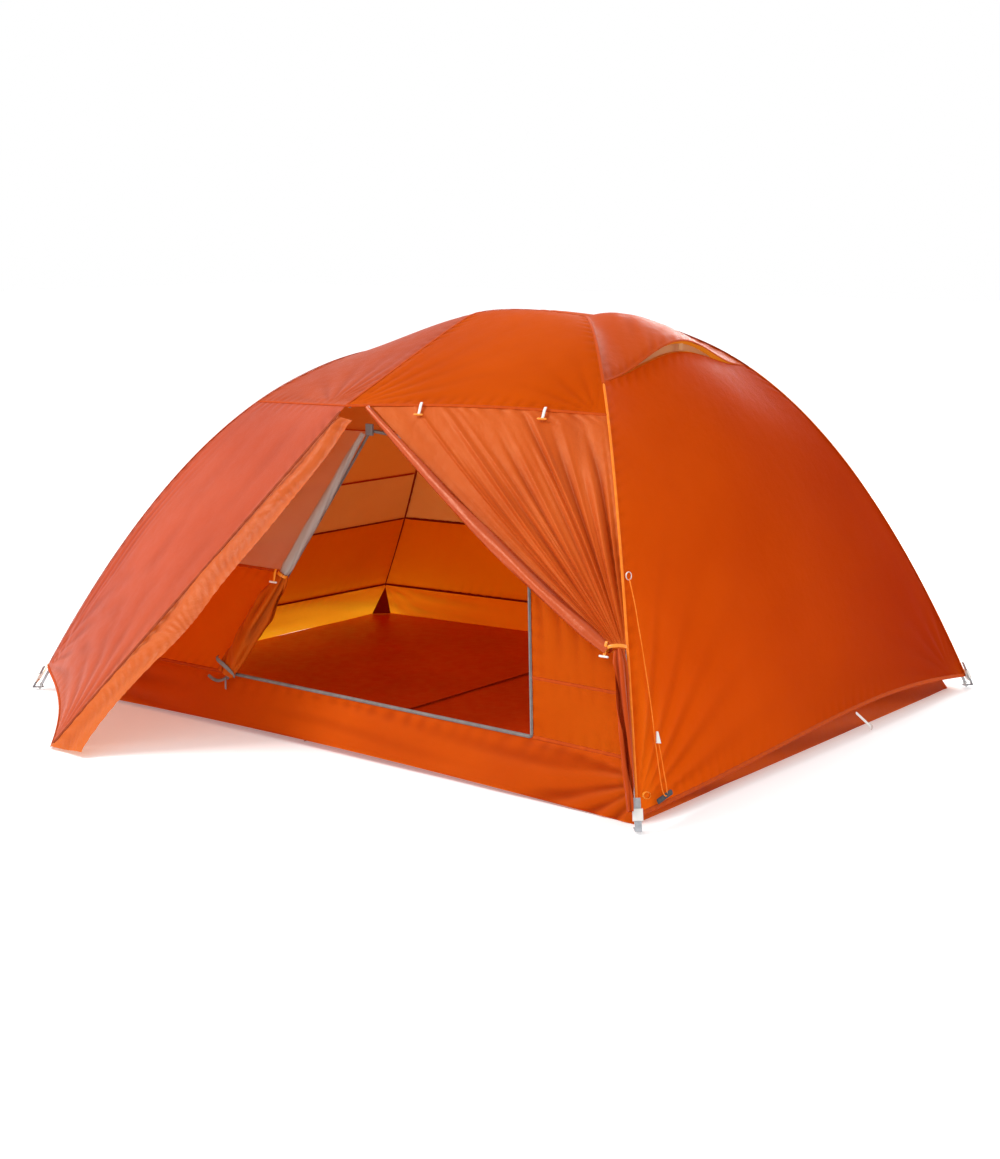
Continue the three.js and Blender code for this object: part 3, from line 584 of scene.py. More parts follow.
# moulded plastic with a fine grained surface
def moulded(name, base, rough=0.45, coat=0.1):
    material, tree, shader, _ = nodeTree(name)
    coords = tree.nodes.new("ShaderNodeTexCoord")
    grain = noiseAt(tree, coords.outputs["Object"], 900, 2)
    cloud = noiseAt(tree, coords.outputs["Object"], 35, 3)
    tree.links.new(blendColour(tree, ramp(tree, cloud, 0.3, 0.7), base, tuple(c * 0.85 for c in base)),
                   shader.inputs["Base Color"])
    shader.inputs["Coat Weight"].default_value = coat
    tree.links.new(ramp(tree, cloud, 0.3, 0.7, rough - 0.06, rough + 0.08), shader.inputs["Roughness"])
    bumpOn(tree, [shader], [(grain, 0.25, 0.0002)])
    return material


# anodised aluminium tube with fine drawing lines and scuffs
def drawnAlloy(name, base, rough=0.3):
    material, tree, shader, _ = nodeTree(name)
    coords = tree.nodes.new("ShaderNodeTexCoord")
    scuff = noiseAt(tree, coords.outputs["Object"], 180, 5, 0.65)
    cloud = noiseAt(tree, coords.outputs["Object"], 12, 3)
    tree.links.new(blendColour(tree, ramp(tree, cloud, 0.3, 0.7), base, tuple(c * 0.8 for c in base)),
                   shader.inputs["Base Color"])
    shader.inputs["Metallic"].default_value = 0.9
    tree.links.new(ramp(tree, scuff, 0.3, 0.75, rough - 0.07, rough + 0.14), shader.inputs["Roughness"])
    bumpOn(tree, [shader], [(scuff, 0.2, 0.0003)])
    return material


# how each finish is made, with linear colours; the fly, inner tent and tub finishes are copies of one fabric
# each, made lighter or darker per panel as painted light and shade
looks = {
    # painted sheen: the roof and closed panels are pinker than the brow and head end, standing in for a
    # reflection of the white surroundings
    "flyFoot": (ripstop, dict(base=(0.41, 0.055, 0.011), light=(0.48, 0.075, 0.018),
        glow=(0.85, 0.24, 0.03), through=0.28, rough=0.34, specular=0.05, gloss=(1.0, 0.75, 0.65))),
    "flyVestibule": (ripstop, dict(base=(0.44, 0.060, 0.020), light=(0.51, 0.084, 0.034),
        glow=(0.85, 0.24, 0.03), through=0.28, rough=0.34, specular=0.11, gloss=(1.0, 0.8, 0.7))),
    "flyBrow": (ripstop, dict(base=(0.49, 0.063, 0.0008), light=(0.58, 0.083, 0.0015),
        glow=(0.9, 0.28, 0.015), through=0.28, rough=0.38, specular=0.012)),
    # painted shade: the head end darkens towards its far side
    "flyHead": (ripstop, dict(base=(0.66, 0.076, 0.001), light=(0.74, 0.095, 0.002),
        glow=(0.85, 0.22, 0.01), through=0.28, rough=0.4, specular=0.006, farShade=(0.31, 0.016, 0.0005))),
    "hood": (ripstop, dict(base=(0.49, 0.062, 0.004), light=(0.56, 0.080, 0.010), glow=(0.8, 0.22, 0.02),
        through=0.28, rough=0.36, specular=0.03)),
    # painted highlight: the storm flap is a lighter, pinker copy of the fly fabric
    "flap": (ripstop, dict(base=(0.50, 0.085, 0.013), light=(0.62, 0.130, 0.028), glow=(0.95, 0.32, 0.03),
        through=0.3, rough=0.34, specular=0.25, gloss=(1.0, 0.7, 0.5), crinkle=0.9)),
    "door": (ripstop, dict(base=(0.51, 0.076, 0.008), light=(0.60, 0.108, 0.015), glow=(0.9, 0.28, 0.015),
        through=0.25, rough=0.34, specular=0.3, crinkle=0.5)),
    # painted shade: the rolled leading edge is a darker copy of the door fabric
    "doorRoll": (ripstop, dict(base=(0.42, 0.050, 0.008), light=(0.52, 0.075, 0.014),
        glow=(0.7, 0.12, 0.015), through=0.08, rough=0.27, specular=0.6, gloss=(1.0, 0.55, 0.35),
        crinkle=0.3)),
    "doorTail": (ripstop, dict(base=(0.42, 0.040, 0.005), light=(0.5, 0.055, 0.008),
        glow=(0.5, 0.06, 0.008), through=0.1, rough=0.36, specular=0.5, crinkle=0.6)),
    "inner": (ripstop, dict(base=(0.59, 0.092, 0.002), light=(0.67, 0.12, 0.004), glow=(1.0, 0.36, 0.01),
        through=0.45, rough=0.5, specular=0.08)),
    # painted light: a lighter copy of the inner fabric for the foot-side front wall, which lies in shade
    "innerFoot": (ripstop, dict(base=(0.80, 0.13, 0.003), light=(0.88, 0.16, 0.005),
        glow=(1.0, 0.42, 0.01), through=0.45, rough=0.5, specular=0.05)),
    # painted shade: the rolled inner door is a darker, browner copy of the inner fabric
    "innerRoll": (ripstop, dict(base=(0.52, 0.075, 0.003), light=(0.64, 0.11, 0.006),
        glow=(0.8, 0.24, 0.01), through=0.15, rough=0.36, specular=0.5, crinkle=0.6)),
    # painted light: a lighter copy of the inner fabric for the rear and end walls
    "innerRear": (ripstop, dict(base=(0.74, 0.14, 0.002), light=(0.84, 0.18, 0.004),
        glow=(1.0, 0.42, 0.006), through=0.45, rough=0.5, specular=0.1)),
    "tub": (ripstop, dict(base=(0.55, 0.070, 0.002), light=(0.64, 0.092, 0.003), glow=(0.95, 0.34, 0.01),
        through=0.35, rough=0.42, specular=0.14)),
    # painted light: a lighter copy of the tub fabric for the rear and foot tub walls
    "tubBack": (ripstop, dict(base=(0.86, 0.125, 0.003), light=(0.94, 0.16, 0.004), glow=(1.0, 0.38, 0.01),
        through=0.5, rough=0.45, specular=0.15)),
    "floor": (ripstop, dict(base=(0.50, 0.030, 0.001), light=(0.60, 0.042, 0.002), glow=(0.3, 0.03, 0.002),
        through=0.0, rough=0.4, specular=0.3)),
    "gusset": (ripstop, dict(base=(0.2, 0.018, 0.004), light=(0.26, 0.024, 0.005), glow=(0.2, 0.02, 0.004),
        through=0.05, rough=0.5)),
    "net": (netting, dict(base=(0.88, 0.58, 0.40), glow=(1.0, 0.68, 0.38), seeThrough=0.22)),
    "netInside": (netting, dict(base=(1.0, 0.66, 0.30), glow=(1.0, 0.95, 0.45), seeThrough=0.04,
        through=0.35)),
    "netRoof": (netting, dict(base=(0.70, 0.30, 0.08), glow=(1.0, 0.55, 0.10), seeThrough=0.25)),
    "netRoll": (netting, dict(base=(0.62, 0.55, 0.5), glow=(0.7, 0.6, 0.55), seeThrough=0.05,
        through=0.35)),
    "ventNet": (netting, dict(base=(0.62, 0.27, 0.10), glow=(0.8, 0.4, 0.2), seeThrough=0.04, through=0.2)),
    "binding": (webbing, dict(base=(0.44, 0.050, 0.002), light=(0.52, 0.068, 0.004))),
    "piping": (webbing, dict(base=(0.85, 0.19, 0.012), light=(0.94, 0.25, 0.03))),
    "darkBinding": (webbing, dict(base=(0.22, 0.026, 0.004), light=(0.28, 0.04, 0.006))),
    "darkZip": (webbing, dict(base=(0.26, 0.040, 0.012), light=(0.36, 0.07, 0.025))),
    "floorTape": (webbing, dict(base=(0.26, 0.018, 0.002), light=(0.32, 0.024, 0.004))),
    "zipTape": (webbing, dict(base=(0.17, 0.155, 0.15), light=(0.24, 0.215, 0.20))),
    "zipTeeth": (webbing, dict(base=(0.20, 0.185, 0.18), light=(0.27, 0.25, 0.24))),
    "greyWebbing": (webbing, dict(base=(0.34, 0.35, 0.37), light=(0.46, 0.47, 0.5))),
    "whiteWebbing": (webbing, dict(base=(0.74, 0.72, 0.68), light=(0.84, 0.82, 0.79))),
    "blackWebbing": (webbing, dict(base=(0.05, 0.05, 0.055), light=(0.09, 0.09, 0.1))),
    "cord": (webbing, dict(base=(0.90, 0.20, 0.010), light=(1.0, 0.30, 0.04), pitch=0.0012)),
    "orangePlastic": (moulded, dict(base=(0.95, 0.29, 0.012), rough=0.4)),
    "whitePlastic": (moulded, dict(base=(0.80, 0.78, 0.74), rough=0.4)),
    "greyPlastic": (moulded, dict(base=(0.22, 0.23, 0.24), rough=0.4)),
    "alloy": (drawnAlloy, dict(base=(0.42, 0.43, 0.45))),
    "tipAlloy": (drawnAlloy, dict(base=(0.55, 0.55, 0.54), rough=0.34)),
}
finish = {name: make(name, **look) for name, (make, look) in looks.items()}
print("finishes ready")

# camera and guyline come first
shot = {"place": (3.77, -4.98, 1.49), "turn": (79.8, 0, 36.9), "sensor": 36, "lensShare": 2000 / 1159}
cameraData = bpy.data.cameras.new("camera")
camera = bpy.data.objects.new("camera", cameraData)
scene.collection.objects.link(camera)
camera.location = shot["place"]
camera.rotation_euler = [math.radians(angle) for angle in shot["turn"]]
cameraData.sensor_width = shot["sensor"]
cameraData.lens = shot["sensor"] * shot["lensShare"]
cameraData.clip_end = 60
scene.camera = camera

guyline = {
    "diameter": 0.003,
    "points": [
        (993, -727, 580), (1005, -732, 550), (1021, -741, 514), (1039, -754, 471), (1057, -766, 428),
        (1075, -779, 383), (1092, -790, 337), (1109, -802, 292), (1125, -815, 250), (1141, -829, 204),
        (1156, -840, 164), (1171, -850, 118), (1185, -858, 80), (1189, -855, 68), (1189, -846, 63),
        (1186, -838, 71), (1169, -829, 124), (1154, -823, 172), (1144, -820, 200),
    ],
}


# a smooth line through all the points, with even bends
def roundedPath(points, steps=10):
    p = np.array(points, float)
    p = np.vstack([2 * p[0] - p[1], p, 2 * p[-1] - p[-2]])
    made = []
    for k in range(1, len(p) - 2):
        gaps = np.linalg.norm(np.diff(p[k - 1:k + 3], axis=0), axis=1)
        knots = np.concatenate([[0], np.cumsum(np.sqrt(gaps))])
        for t in np.linspace(knots[1], knots[2], steps, endpoint=False):
            a = [mix(p[k - 1 + j], p[k + j], (t - knots[j]) / (knots[j + 1] - knots[j])) for j in range(3)]
            b = [mix(a[j], a[j + 1], (t - knots[j]) / (knots[j + 2] - knots[j])) for j in range(2)]
            made.append(mix(b[0], b[1], (t - knots[1]) / (knots[2] - knots[1])))
    made.append(p[-2])
    return np.array(made)


def curvePiece(name, points, radius, material):
    data = bpy.data.curves.new(name, "CURVE")
    data.dimensions = "3D"
    data.bevel_depth = radius
    data.bevel_resolution = 3
    data.use_fill_caps = True
    spline = data.splines.new("POLY")
    spline.points.add(len(points) - 1)
    for k, p in enumerate(points):
        spline.points[k].co = (*p, 1)
    piece = bpy.data.objects.new(name, data)
    scene.collection.objects.link(piece)
    data.materials.append(material)
    return piece


guyPath = roundedPath(np.array(guyline["points"]) / 1000)
cordPiece = curvePiece("guyline_cord", guyPath, guyline["diameter"] / 2, finish["cord"])
belongs(cordPiece, ["guyline"])

# fly: roof, brow, ends and closed panels
hubX = {end: tent["hubs"][end][0] for end in (head, foot)}


def alongRidge(t):
    return hubX[foot] + (hubX[head] - hubX[foot]) * np.asarray(t)


# fans at both lower corners, and upright folds beside the leg
def vestibuleFolds(a, b, u, v):
    beside = np.sin(2 * math.pi * a / 0.034 + 1.5 * softNoise(b, a, 0.5, 23))
    return (fan(a, b, (0.0, 0.0), 22, 0.12, 0.0020, 0.4) + fan(a, b, (0.75, 0.0), 24, 0.14, 0.0022, 1.4)
            + 0.0007 * softNoise(a * 2, b * 0.5, 0.25, 17)
            + 0.0022 * beside * ease(0.16 - a, 0, 0.15) * ease(1 - v, 0.1, 0.6))


def headEndFolds(a, b, u, v):
    slanting = np.sin(2 * math.pi * (a - 0.35 * b) / 0.06 + 2 * softNoise(a, b, 0.5, 4))
    return (fan(a, b, (0.0, 0.0), 24, 0.13, 0.0020, 0.4) + fan(a, b, (1.85, 0.0), 24, 0.12, 0.0016, 2)
            + 0.0005 * slanting * ease(0.3 - a, 0, 0.25) * ease(b, 0.1, 0.3) * ease(0.75 - b, 0, 0.4))


for side in (front, rear):
    name = sideName[side]
    makeCloth(
        f"brow_cloth_{name}",
        patch(lambda t, q=side: browHem(q, t),
              lambda t: ridgeFly(tent["browX"] + (hubX[head] - tent["browX"]) * np.asarray(t)),
              lambda t, q=side: browFly(q, 1 - np.asarray(t)),
              legSpan(head, side, onLeg["browHem"], 1)),
        finish["flyBrow"], [f"fly_brow_{name}"], 110, 100, seed=3 + side, clean=True,
        folds=fans(((0.0, 0.0), 22, 0.10, 0.0012, 1), ((0.78, 0.0), 26, 0.08, 0.0012, 2)))
    makeCloth(
        f"roof_cloth_{name}",
        patch(footSeamLine(side),
              lambda t: ridgeFly(hubX[foot] + (tent["browX"] - hubX[foot]) * np.asarray(t)),
              legSpan(foot, side, onLeg["footSeam"], 1),
              lambda t, q=side: browFly(q, 1 - np.asarray(t))),
        finish["flyFoot"], [f"fly_roof_{name}"], 90, 90, seed=13 + side, clean=True,
        folds=fans(((0.5, 0.0), 20, 0.1, 0.0018, 1)))
    makeCloth(
        f"vestibule_cloth_{name}",
        patch(lambda t, q=side: vestibuleHem(q, t),
              footSeamLine(side),
              legSpan(foot, side, hemAt[foot], onLeg["footSeam"]),
              lambda t, q=side: zipLine(q, t)),
        finish["flyVestibule"], [f"vestibule_panel_{name}"], 110, 150, seed=23 + side,
        folds=vestibuleFolds)

makeCloth(
    "foot_end_cloth",
    patch(endHem(foot),
          between(legFly(foot, front, onLeg["flyTop"]), legFly(foot, rear, onLeg["flyTop"])),
          legSpan(foot, front, hemAt[foot], 1), legSpan(foot, rear, hemAt[foot], 1)),
    finish["flyFoot"], ["fly_foot_end"], 140, 150, seed=31, clean=True,
    folds=fans(((0.0, 0.0), 26, 0.14, 0.0018, 0.4), ((1.6, 0.0), 26, 0.14, 0.0018, 2)))
makeCloth(
    "head_end_cloth",
    patch(endHem(head), ventSill,
          legSpan(head, front, hemAt[head], onLeg["hoodHem"]),
          legSpan(head, rear, hemAt[head], onLeg["hoodHem"])),
    finish["flyHead"], ["fly_head_end"], 180, 150, seed=37,
    folds=headEndFolds)
makeCloth(
    "rear_door_cloth",
    patch(rearDoorHem, lambda t: browHem(rear, t), lambda t: zipLine(rear, t),
          legSpan(head, rear, hemAt[head], onLeg["browHem"])),
    finish["flyBrow"], ["fly_door_rear"], 150, 120, seed=41,
    folds=fans(((0.0, 0.0), 26, 0.16, 0.0022, 0.4), ((1.9, 0.0), 24, 0.14, 0.002, 2)))
makeCloth(
    "vent_hood_cloth",
    patch(hoodHem, between(legFly(head, front, onLeg["flyTop"]), legFly(head, rear, onLeg["flyTop"])),
          legSpan(head, front, onLeg["hoodHem"], 1), legSpan(head, rear, onLeg["hoodHem"], 1)),
    finish["hood"], ["vent_hood"], 110, 60, seed=47, clean=True,
    folds=lambda a, b, u, v: 0.0007 * softNoise(a * 3, b, 0.3, 19) * ease(1 - v, 0, 0.8))
print("fly panels ready")


# the open door: a fan gathered to its tie
def tiePoint():
    return legFly(head, front, onLeg["tie"]) + vec(-0.034, -0.016, 0.002)


doorFan = {
    "sag": -0.024, "topAt": 0.10, "folds": 24, "depth": 0.018, "seed": 21,
    "legFolds": ((0.965, 0.018, 0.95), (0.90, 0.022, 0.9), (0.83, 0.026, 0.8)),
}


def doorLead(t):
    return arched(tiePoint(), browHem(front, doorFan["topAt"]), doorFan["sag"], t)


# uneven folds that run out of the tie: each has its own place, width and reach
def fanFolds(a, b, u, v):
    dice = np.random.RandomState(doorFan["seed"])
    count = doorFan["folds"]
    made = [((k + dice.uniform(0.1, 0.9)) / count, dice.uniform(0.009, 0.021), dice.uniform(0.6, 1.25))
            for k in range(1, count)]
    width = 0.05 + 0.72 * v
    total = 0.0015 * softNoise(u * 3, v, 0.5, 12)
    for k, (place, share, reach) in enumerate(made + list(doorFan["legFolds"])):
        drift = 0.02 * np.sin(3 * v + k)
        gone = 1 - ease(v, 0.3 * reach, reach)
        depth = np.minimum(doorFan["depth"] * (0.6 + 0.4 * math.sin(5.1 * k)), 1.7 * share * width)
        bell = np.exp(-((u - place - drift) / share) ** 2)
        total = total + (depth if k % 2 else -0.75 * depth) * bell * gone * ease(v, 0, 0.06)
    return total * ease(u, 0.03, 0.2)


makeCloth(
    "open_door_cloth",
    patch(between(tiePoint(), legFly(head, front, onLeg["tie"])),
          stretch(lambda t: browHem(front, t), doorFan["topAt"], 1),
          doorLead,
          legSpan(head, front, onLeg["tie"], onLeg["browHem"])),
    finish["door"], ["fly_door_front"], 220, 150,
    seed=53, folds=fanFolds, fade=(0, 1, 0, 1), edge=0.012, dark=0.006)

flap = {
    "top": 0.97, "stand": vec(0, -0.004, 0),
    "footCorner": zipLine(front, 0.01) + vec(0.150, -0.024, 0),
    "topCorner": zipLine(front, 0.97) + vec(0.060, -0.002, -0.010),
    "edgeSwell": vec(-0.014, 0.004, 0.006),
}


# slanting wrinkles along the free edge, over one slow roll across
def flapFolds(a, b, u, v):
    wrinkle = np.sin(2 * math.pi * (b + 0.9 * a) / 0.027 + 5 * softNoise(b, a, 0.2, 2))
    some = ease(u, 0.05, 0.5) * (0.55 + 0.45 * softNoise(b, a, 0.12, 6))
    roll = np.sin(2 * math.pi * 1.2 * u + 2.0 * softNoise(b, 0 * a, 0.5, 8))
    return 0.0014 * wrinkle * some + 0.0032 * roll


makeCloth(
    "storm_flap_cloth",
    patch(between(zipLine(front, 0) + flap["stand"], flap["footCorner"]),
          between(zipLine(front, flap["top"]) + flap["stand"], flap["topCorner"]),
          lambda t: zipLine(front, flap["top"] * np.asarray(t)) + flap["stand"],
          lambda t: mix(flap["footCorner"], flap["topCorner"], t)
          + flap["edgeSwell"] * col(np.sin(2 * math.pi * np.asarray(t) ** 0.6))),
    finish["flap"], ["storm_flap_front"], 26, 220, seed=59, crown=0.006,
    depth=0.002, pitch=0.05, fade=(1, 0, 0, 1), edge=0.015, dark=0.010, folds=flapFolds)
print("doors ready")


# inner tent
def floorEdge(side, x):
    t = (np.asarray(x, float) + tent["length"] / 2) / tent["length"]
    return mix(floorCorner(foot, side), floorCorner(head, side), t)


inner = {
    "sillHeight": 0.150, "tubHeight": 0.125, "sideLean": 0.050, "endLean": 0.066,
    "doorFootX": -0.374, "doorHeadX": 0.778, "knee": (0.640, 0.610), "crown": (0.560, 0.850),
    "bandLow": 0.402, "bandHigh": 0.585, "footBand": 0.460, "patchTop": 0.297,
}


def tubRim(side, x):
    height = inner["sillHeight"] if side == front else inner["tubHeight"]
    return floorEdge(side, x) + vec(0, -side * inner["sideLean"], height)


def tubCorner(end, side):
    return tubRim(side, end * (tent["length"] / 2 - inner["endLean"]))


def innerApex(side):
    return vec(tent["browX"] + 0.012, side * tent["browHalfSpan"] * 0.855, browPoint(side, 0.855)[2] - 0.108)


def frontWall(x, height):
    apex = innerApex(front)
    return floorEdge(front, x) + vec(0, (apex[1] - floorEdge(front, apex[0])[1]) * height / apex[2], height)


def doorwayEdge(t):
    t = np.asarray(t, float)
    low, knee = tubRim(front, inner["doorHeadX"]) + up * 0.004, frontWall(*inner["knee"])
    crown, apex = frontWall(*inner["crown"]), innerApex(front)
    q = np.clip(2 * t - 1, 0, 1)
    curve = knee * col((1 - q) ** 2) + crown * col(2 * q * (1 - q)) + apex * col(q * q)
    return np.where(col(t) < 0.5, mix(low, knee, np.clip(2 * t, 0, 1)), curve)


def innerLeg(end, side, s):
    return offsetLine(lambda q: legPoint(end, side, q), -tent["innerGap"])(s)


# from low to high, bowed as the leg is between two shares of its height
def legEdge(end, side, low, high, lowShare, highShare):
    def line(t):
        bow = innerLeg(end, side, lowShare + (highShare - lowShare) * np.asarray(t, float))
        return mix(low, high, t) + bow - mix(innerLeg(end, side, lowShare), innerLeg(end, side, highShare), t)
    return line


def twoPart(a, b, c):
    return lambda t: np.where(col(t) < 0.5, mix(a, b, np.clip(2 * np.asarray(t), 0, 1)),
                              mix(b, c, np.clip(2 * np.asarray(t) - 1, 0, 1)))


# the part of a surface between two heights, found column by column
def banded(surface, low, high):
    def part(u, v):
        fine = np.linspace(0, 1, 160)
        line = u[0]
        heights = surface(*np.meshgrid(line, fine))[..., 2]
        ends = []
        for level, edge in ((low, 0.0), (high, 1.0)):
            if level is None:
                ends.append(np.full(len(line), edge))
            else:
                ends.append(np.array([np.interp(level, np.maximum.accumulate(heights[:, k]), fine)
                                      for k in range(len(line))]))
        return surface(u, ends[0] + (ends[1] - ends[0]) * v)
    return part


# the pitched front pulls the floor's edge a little off the ground between its corners
def tubArc(side, t):
    rise = 0.018 if side == front else 0.0
    return up * col(rise * np.sin(math.pi * np.asarray(t, float)))


tub = {"lift": up * 0.001, "floorLift": up * 0.0008, "headShift": 0.001}


def sideTubFolds(a, b, u, v):
    slack = np.sin(2 * math.pi * (b * 14 + a * 0.8) + 2 * softNoise(a, b, 0.6, 5))
    return (fan(a, b, (0.0, 0.15), 14, 0.12, 0.0022, 1) + fan(a, b, (2.28, 0.13), 15, 0.16, 0.0030, 2)
            + 0.0013 * slack * (0.5 + 0.5 * softNoise(a, b, 0.8, 6)))


for side in (front, rear):
    corners = [floorCorner(foot, side), floorCorner(head, side)]
    rims = [tubCorner(foot, side), tubCorner(head, side)]
    makeCloth(
        f"tub_cloth_{sideName[side]}",
        patch(lambda t, q=side, c=corners: mix(*c, t) + tub["lift"] + tubArc(q, t), between(*rims),
              between(corners[0], rims[0]), between(corners[1], rims[1])),
        finish["tub"] if side == front else finish["tubBack"], [f"tub_wall_{sideName[side]}"],
        260, 26, seed=61 + side, depth=0.0016, pitch=0.06, fade=(1, 1, 0, 1), edge=0.02, folds=sideTubFolds)
for end in (foot, head):
    corners = [floorCorner(end, front), floorCorner(end, rear)]
    rims = [tubCorner(end, front), tubCorner(end, rear)]
    shift = vec(end * tub["headShift"], 0, 0)
    makeCloth(
        f"tub_cloth_{endName[end]}",
        patch(lambda t, c=corners: mix(*c, t) + tub["lift"], lambda t, r=rims, q=shift: mix(*r, t) + q,
              between(corners[0], rims[0]), between(corners[1], rims[1])),
        finish["tubBack"] if end == foot else finish["tub"], [f"tub_wall_{endName[end]}"],
        180, 22, seed=71 + end, fade=(1, 1, 0, 1), edge=0.02, depth=0.0014,
        folds=lambda a, b, u, v: 0.0025 * np.sin(2 * math.pi * (b * 9 + a * 1.6)
                                                 + 2 * softNoise(a, b, 0.6, 5)))


def floorCloth(grid, u, v):
    inside = ease(np.minimum.reduce([u, 1 - u, v, 1 - v]), 0, 0.05)
    ripple = 0.0014 + 0.0012 * softNoise(u * 2.3, v * 1.7, 0.5, 3) * inside
    return grid + tubArc(front, u) * col(ease(0.14 - v, 0, 0.14)) + up * col(ripple)


def floorLine(a, b):
    return lambda t: mix(floorCorner(*a), floorCorner(*b), t) + tub["floorLift"]


makeCloth(
    "floor_cloth",
    patch(floorLine((foot, front), (head, front)), floorLine((foot, rear), (head, rear)),
          floorLine((foot, front), (foot, rear)), floorLine((head, front), (head, rear))),
    finish["floor"], ["floor_sheet"], 220, 170, seed=81, depth=0.0001,
    shape=floorCloth)


def innerSide(side):
    apex = innerApex(side)
    footLow, headLow = tubCorner(foot, side), tubCorner(head, side)
    footTop = innerLeg(foot, side, onLeg["innerRoofFoot"])
    headTop = innerLeg(head, side, onLeg["innerRoofHead"])
    footEdge = legEdge(foot, side, footLow, footTop, onLeg["tubFoot"], onLeg["innerRoofFoot"])
    headEdge = legEdge(head, side, headLow, headTop, onLeg["tubHead"], onLeg["innerRoofHead"])
    return apex, footLow, headLow, footTop, headTop, footEdge, headEdge


apex, footLow, headLow, footTop, headTop, footEdge, headEdge = innerSide(front)
doorFoot, doorHead = (tubRim(front, inner[place]) + up * 0.004 for place in ("doorFootX", "doorHeadX"))
frontFoot = patch(between(footLow, doorFoot), between(footTop, apex), footEdge, between(doorFoot, apex))
makeCloth("front_foot_solid", banded(frontFoot, None, inner["footBand"]), finish["innerFoot"],
          ["inner_wall_front_foot"], 80, 50, seed=91, depth=0.0012)
makeCloth("front_foot_net", banded(frontFoot, inner["footBand"], None), finish["net"],
          [], 80, 60, seed=92, depth=0.0012)
frontHead = patch(between(doorHead, headLow), between(apex, headTop), doorwayEdge, headEdge)


def gathers(a, b, u, v):
    wave = np.sin(2 * math.pi * (a + 0.12 * b) / 0.055 + 1.6 * softNoise(a, b, 0.5, 3))
    return 0.0035 * wave * ease(v, 0, 0.25) * (0.55 + 0.45 * softNoise(a, b, 0.6, 7))


makeCloth("front_head_low", banded(frontHead, None, inner["patchTop"]), finish["inner"],
          ["inner_wall_front_head"], 70, 26, seed=93, depth=0.0012, clean=True)
makeCloth("front_head_high", banded(frontHead, inner["patchTop"], None), finish["inner"],
          [], 120, 110, seed=94, depth=0.0012, folds=gathers)
apexR, footLowR, headLowR, footTopR, headTopR, footEdgeR, headEdgeR = innerSide(rear)
rearWall = patch(between(footLowR, headLowR), twoPart(footTopR, apexR, headTopR), footEdgeR, headEdgeR)
makeCloth("rear_wall_solid", banded(rearWall, None, inner["bandLow"]), finish["innerRear"],
          ["inner_wall_rear"], 160, 40, seed=95, depth=0.0014)
makeCloth("rear_wall_net", banded(rearWall, inner["bandLow"], None), finish["netInside"],
          [], 160, 60, seed=96, depth=0.0014)


def endWallOf(end):
    low = [tubCorner(end, side) for side in (front, rear)]
    a, b = (legEdge(end, side, low[k], innerLeg(end, side, onLeg["hub"]), tubAt[end], onLeg["hub"])
            for k, side in enumerate((front, rear)))
    return patch(between(*low), between(a(1.0), b(1.0)), a, b)


for end in (foot, head):
    endWall = endWallOf(end)
    name = endName[end]
    makeCloth(f"{name}_wall_solid", banded(endWall, None, inner["bandLow"]), finish["innerRear"],
              [f"inner_wall_{name}"], 130, 40, seed=97 + end, depth=0.0014)
    makeCloth(f"{name}_wall_mid", banded(endWall, inner["bandLow"], inner["bandHigh"]), finish["netInside"],
              [], 130, 26, seed=100 + end, depth=0.0014)
    makeCloth(f"{name}_wall_net", banded(endWall, inner["bandHigh"], None), finish["netRoof"],
              [], 130, 60, seed=103 + end, depth=0.0014)
for side in (front, rear):
    apexNow, _, _, footTopNow, headTopNow, _, _ = innerSide(side)
    makeCloth(
        f"inner_roof_net_{sideName[side]}",
        patch(twoPart(footTopNow, apexNow, headTopNow),
              lambda t: ridgePoint(alongRidge(t)) - up * tent["innerGap"],
              stretch(lambda s, q=side: innerLeg(foot, q, s), onLeg["innerRoofFoot"], onLeg["hub"]),
              stretch(lambda s, q=side: innerLeg(head, q, s), onLeg["innerRoofHead"], onLeg["hub"])),
        finish["netRoof"], [f"inner_roof_{sideName[side]}"], 110, 70, seed=110 + side,
        clean=True)
print("inner tent ready")


# where a wall reaches one height
def lineAtHeight(surface, height):
    fine = np.linspace(0, 1, 160)

    def line(t):
        u = np.asarray(t, float)
        heights = surface(*np.meshgrid(u, fine))[..., 2]
        v = np.array([np.interp(height, np.maximum.accumulate(heights[:, k]), fine) for k in range(len(u))])
        return surface(u, v)
    return line


# seams and hems of the fly: name, line, outward, width, height, finish
seamLift = 0.0006
seams = []
for side in (front, rear):
    name = sideName[side]
    seams += [
        ("head_leg_seam_" + name, legSpan(head, side, hemAt[head], 0.6, seamLift), (0.5, side * 0.7, 0.5),
         0.007, 0.0018, "piping"),
        ("head_hub_seam_" + name, legSpan(head, side, 0.6, 0.995, seamLift), (0.1, side * 0.3, 1),
         0.010, 0.0014, "binding"),
        ("foot_leg_seam_" + name, legSpan(foot, side, hemAt[foot], 0.995, seamLift), (-0.5, side * 0.5, 0.7),
         0.010, 0.0016, "binding"),
        ("brow_seam_" + name, lambda t, q=side: browFly(q, t, seamLift), (0, side * 0.2, 1),
         0.009, 0.0012, "binding"),
        ("foot_seam_" + name, lambda t, line=footSeamLine(side): line(t) + up * seamLift,
         (0, side * 0.5, 0.8), 0.008, 0.0009, "binding"),
        ("vestibule_hem_" + name, lambda t, q=side: vestibuleHem(q, t), (-0.5, side * 0.7, 0.3),
         0.012, 0.0014, "binding"),
    ]
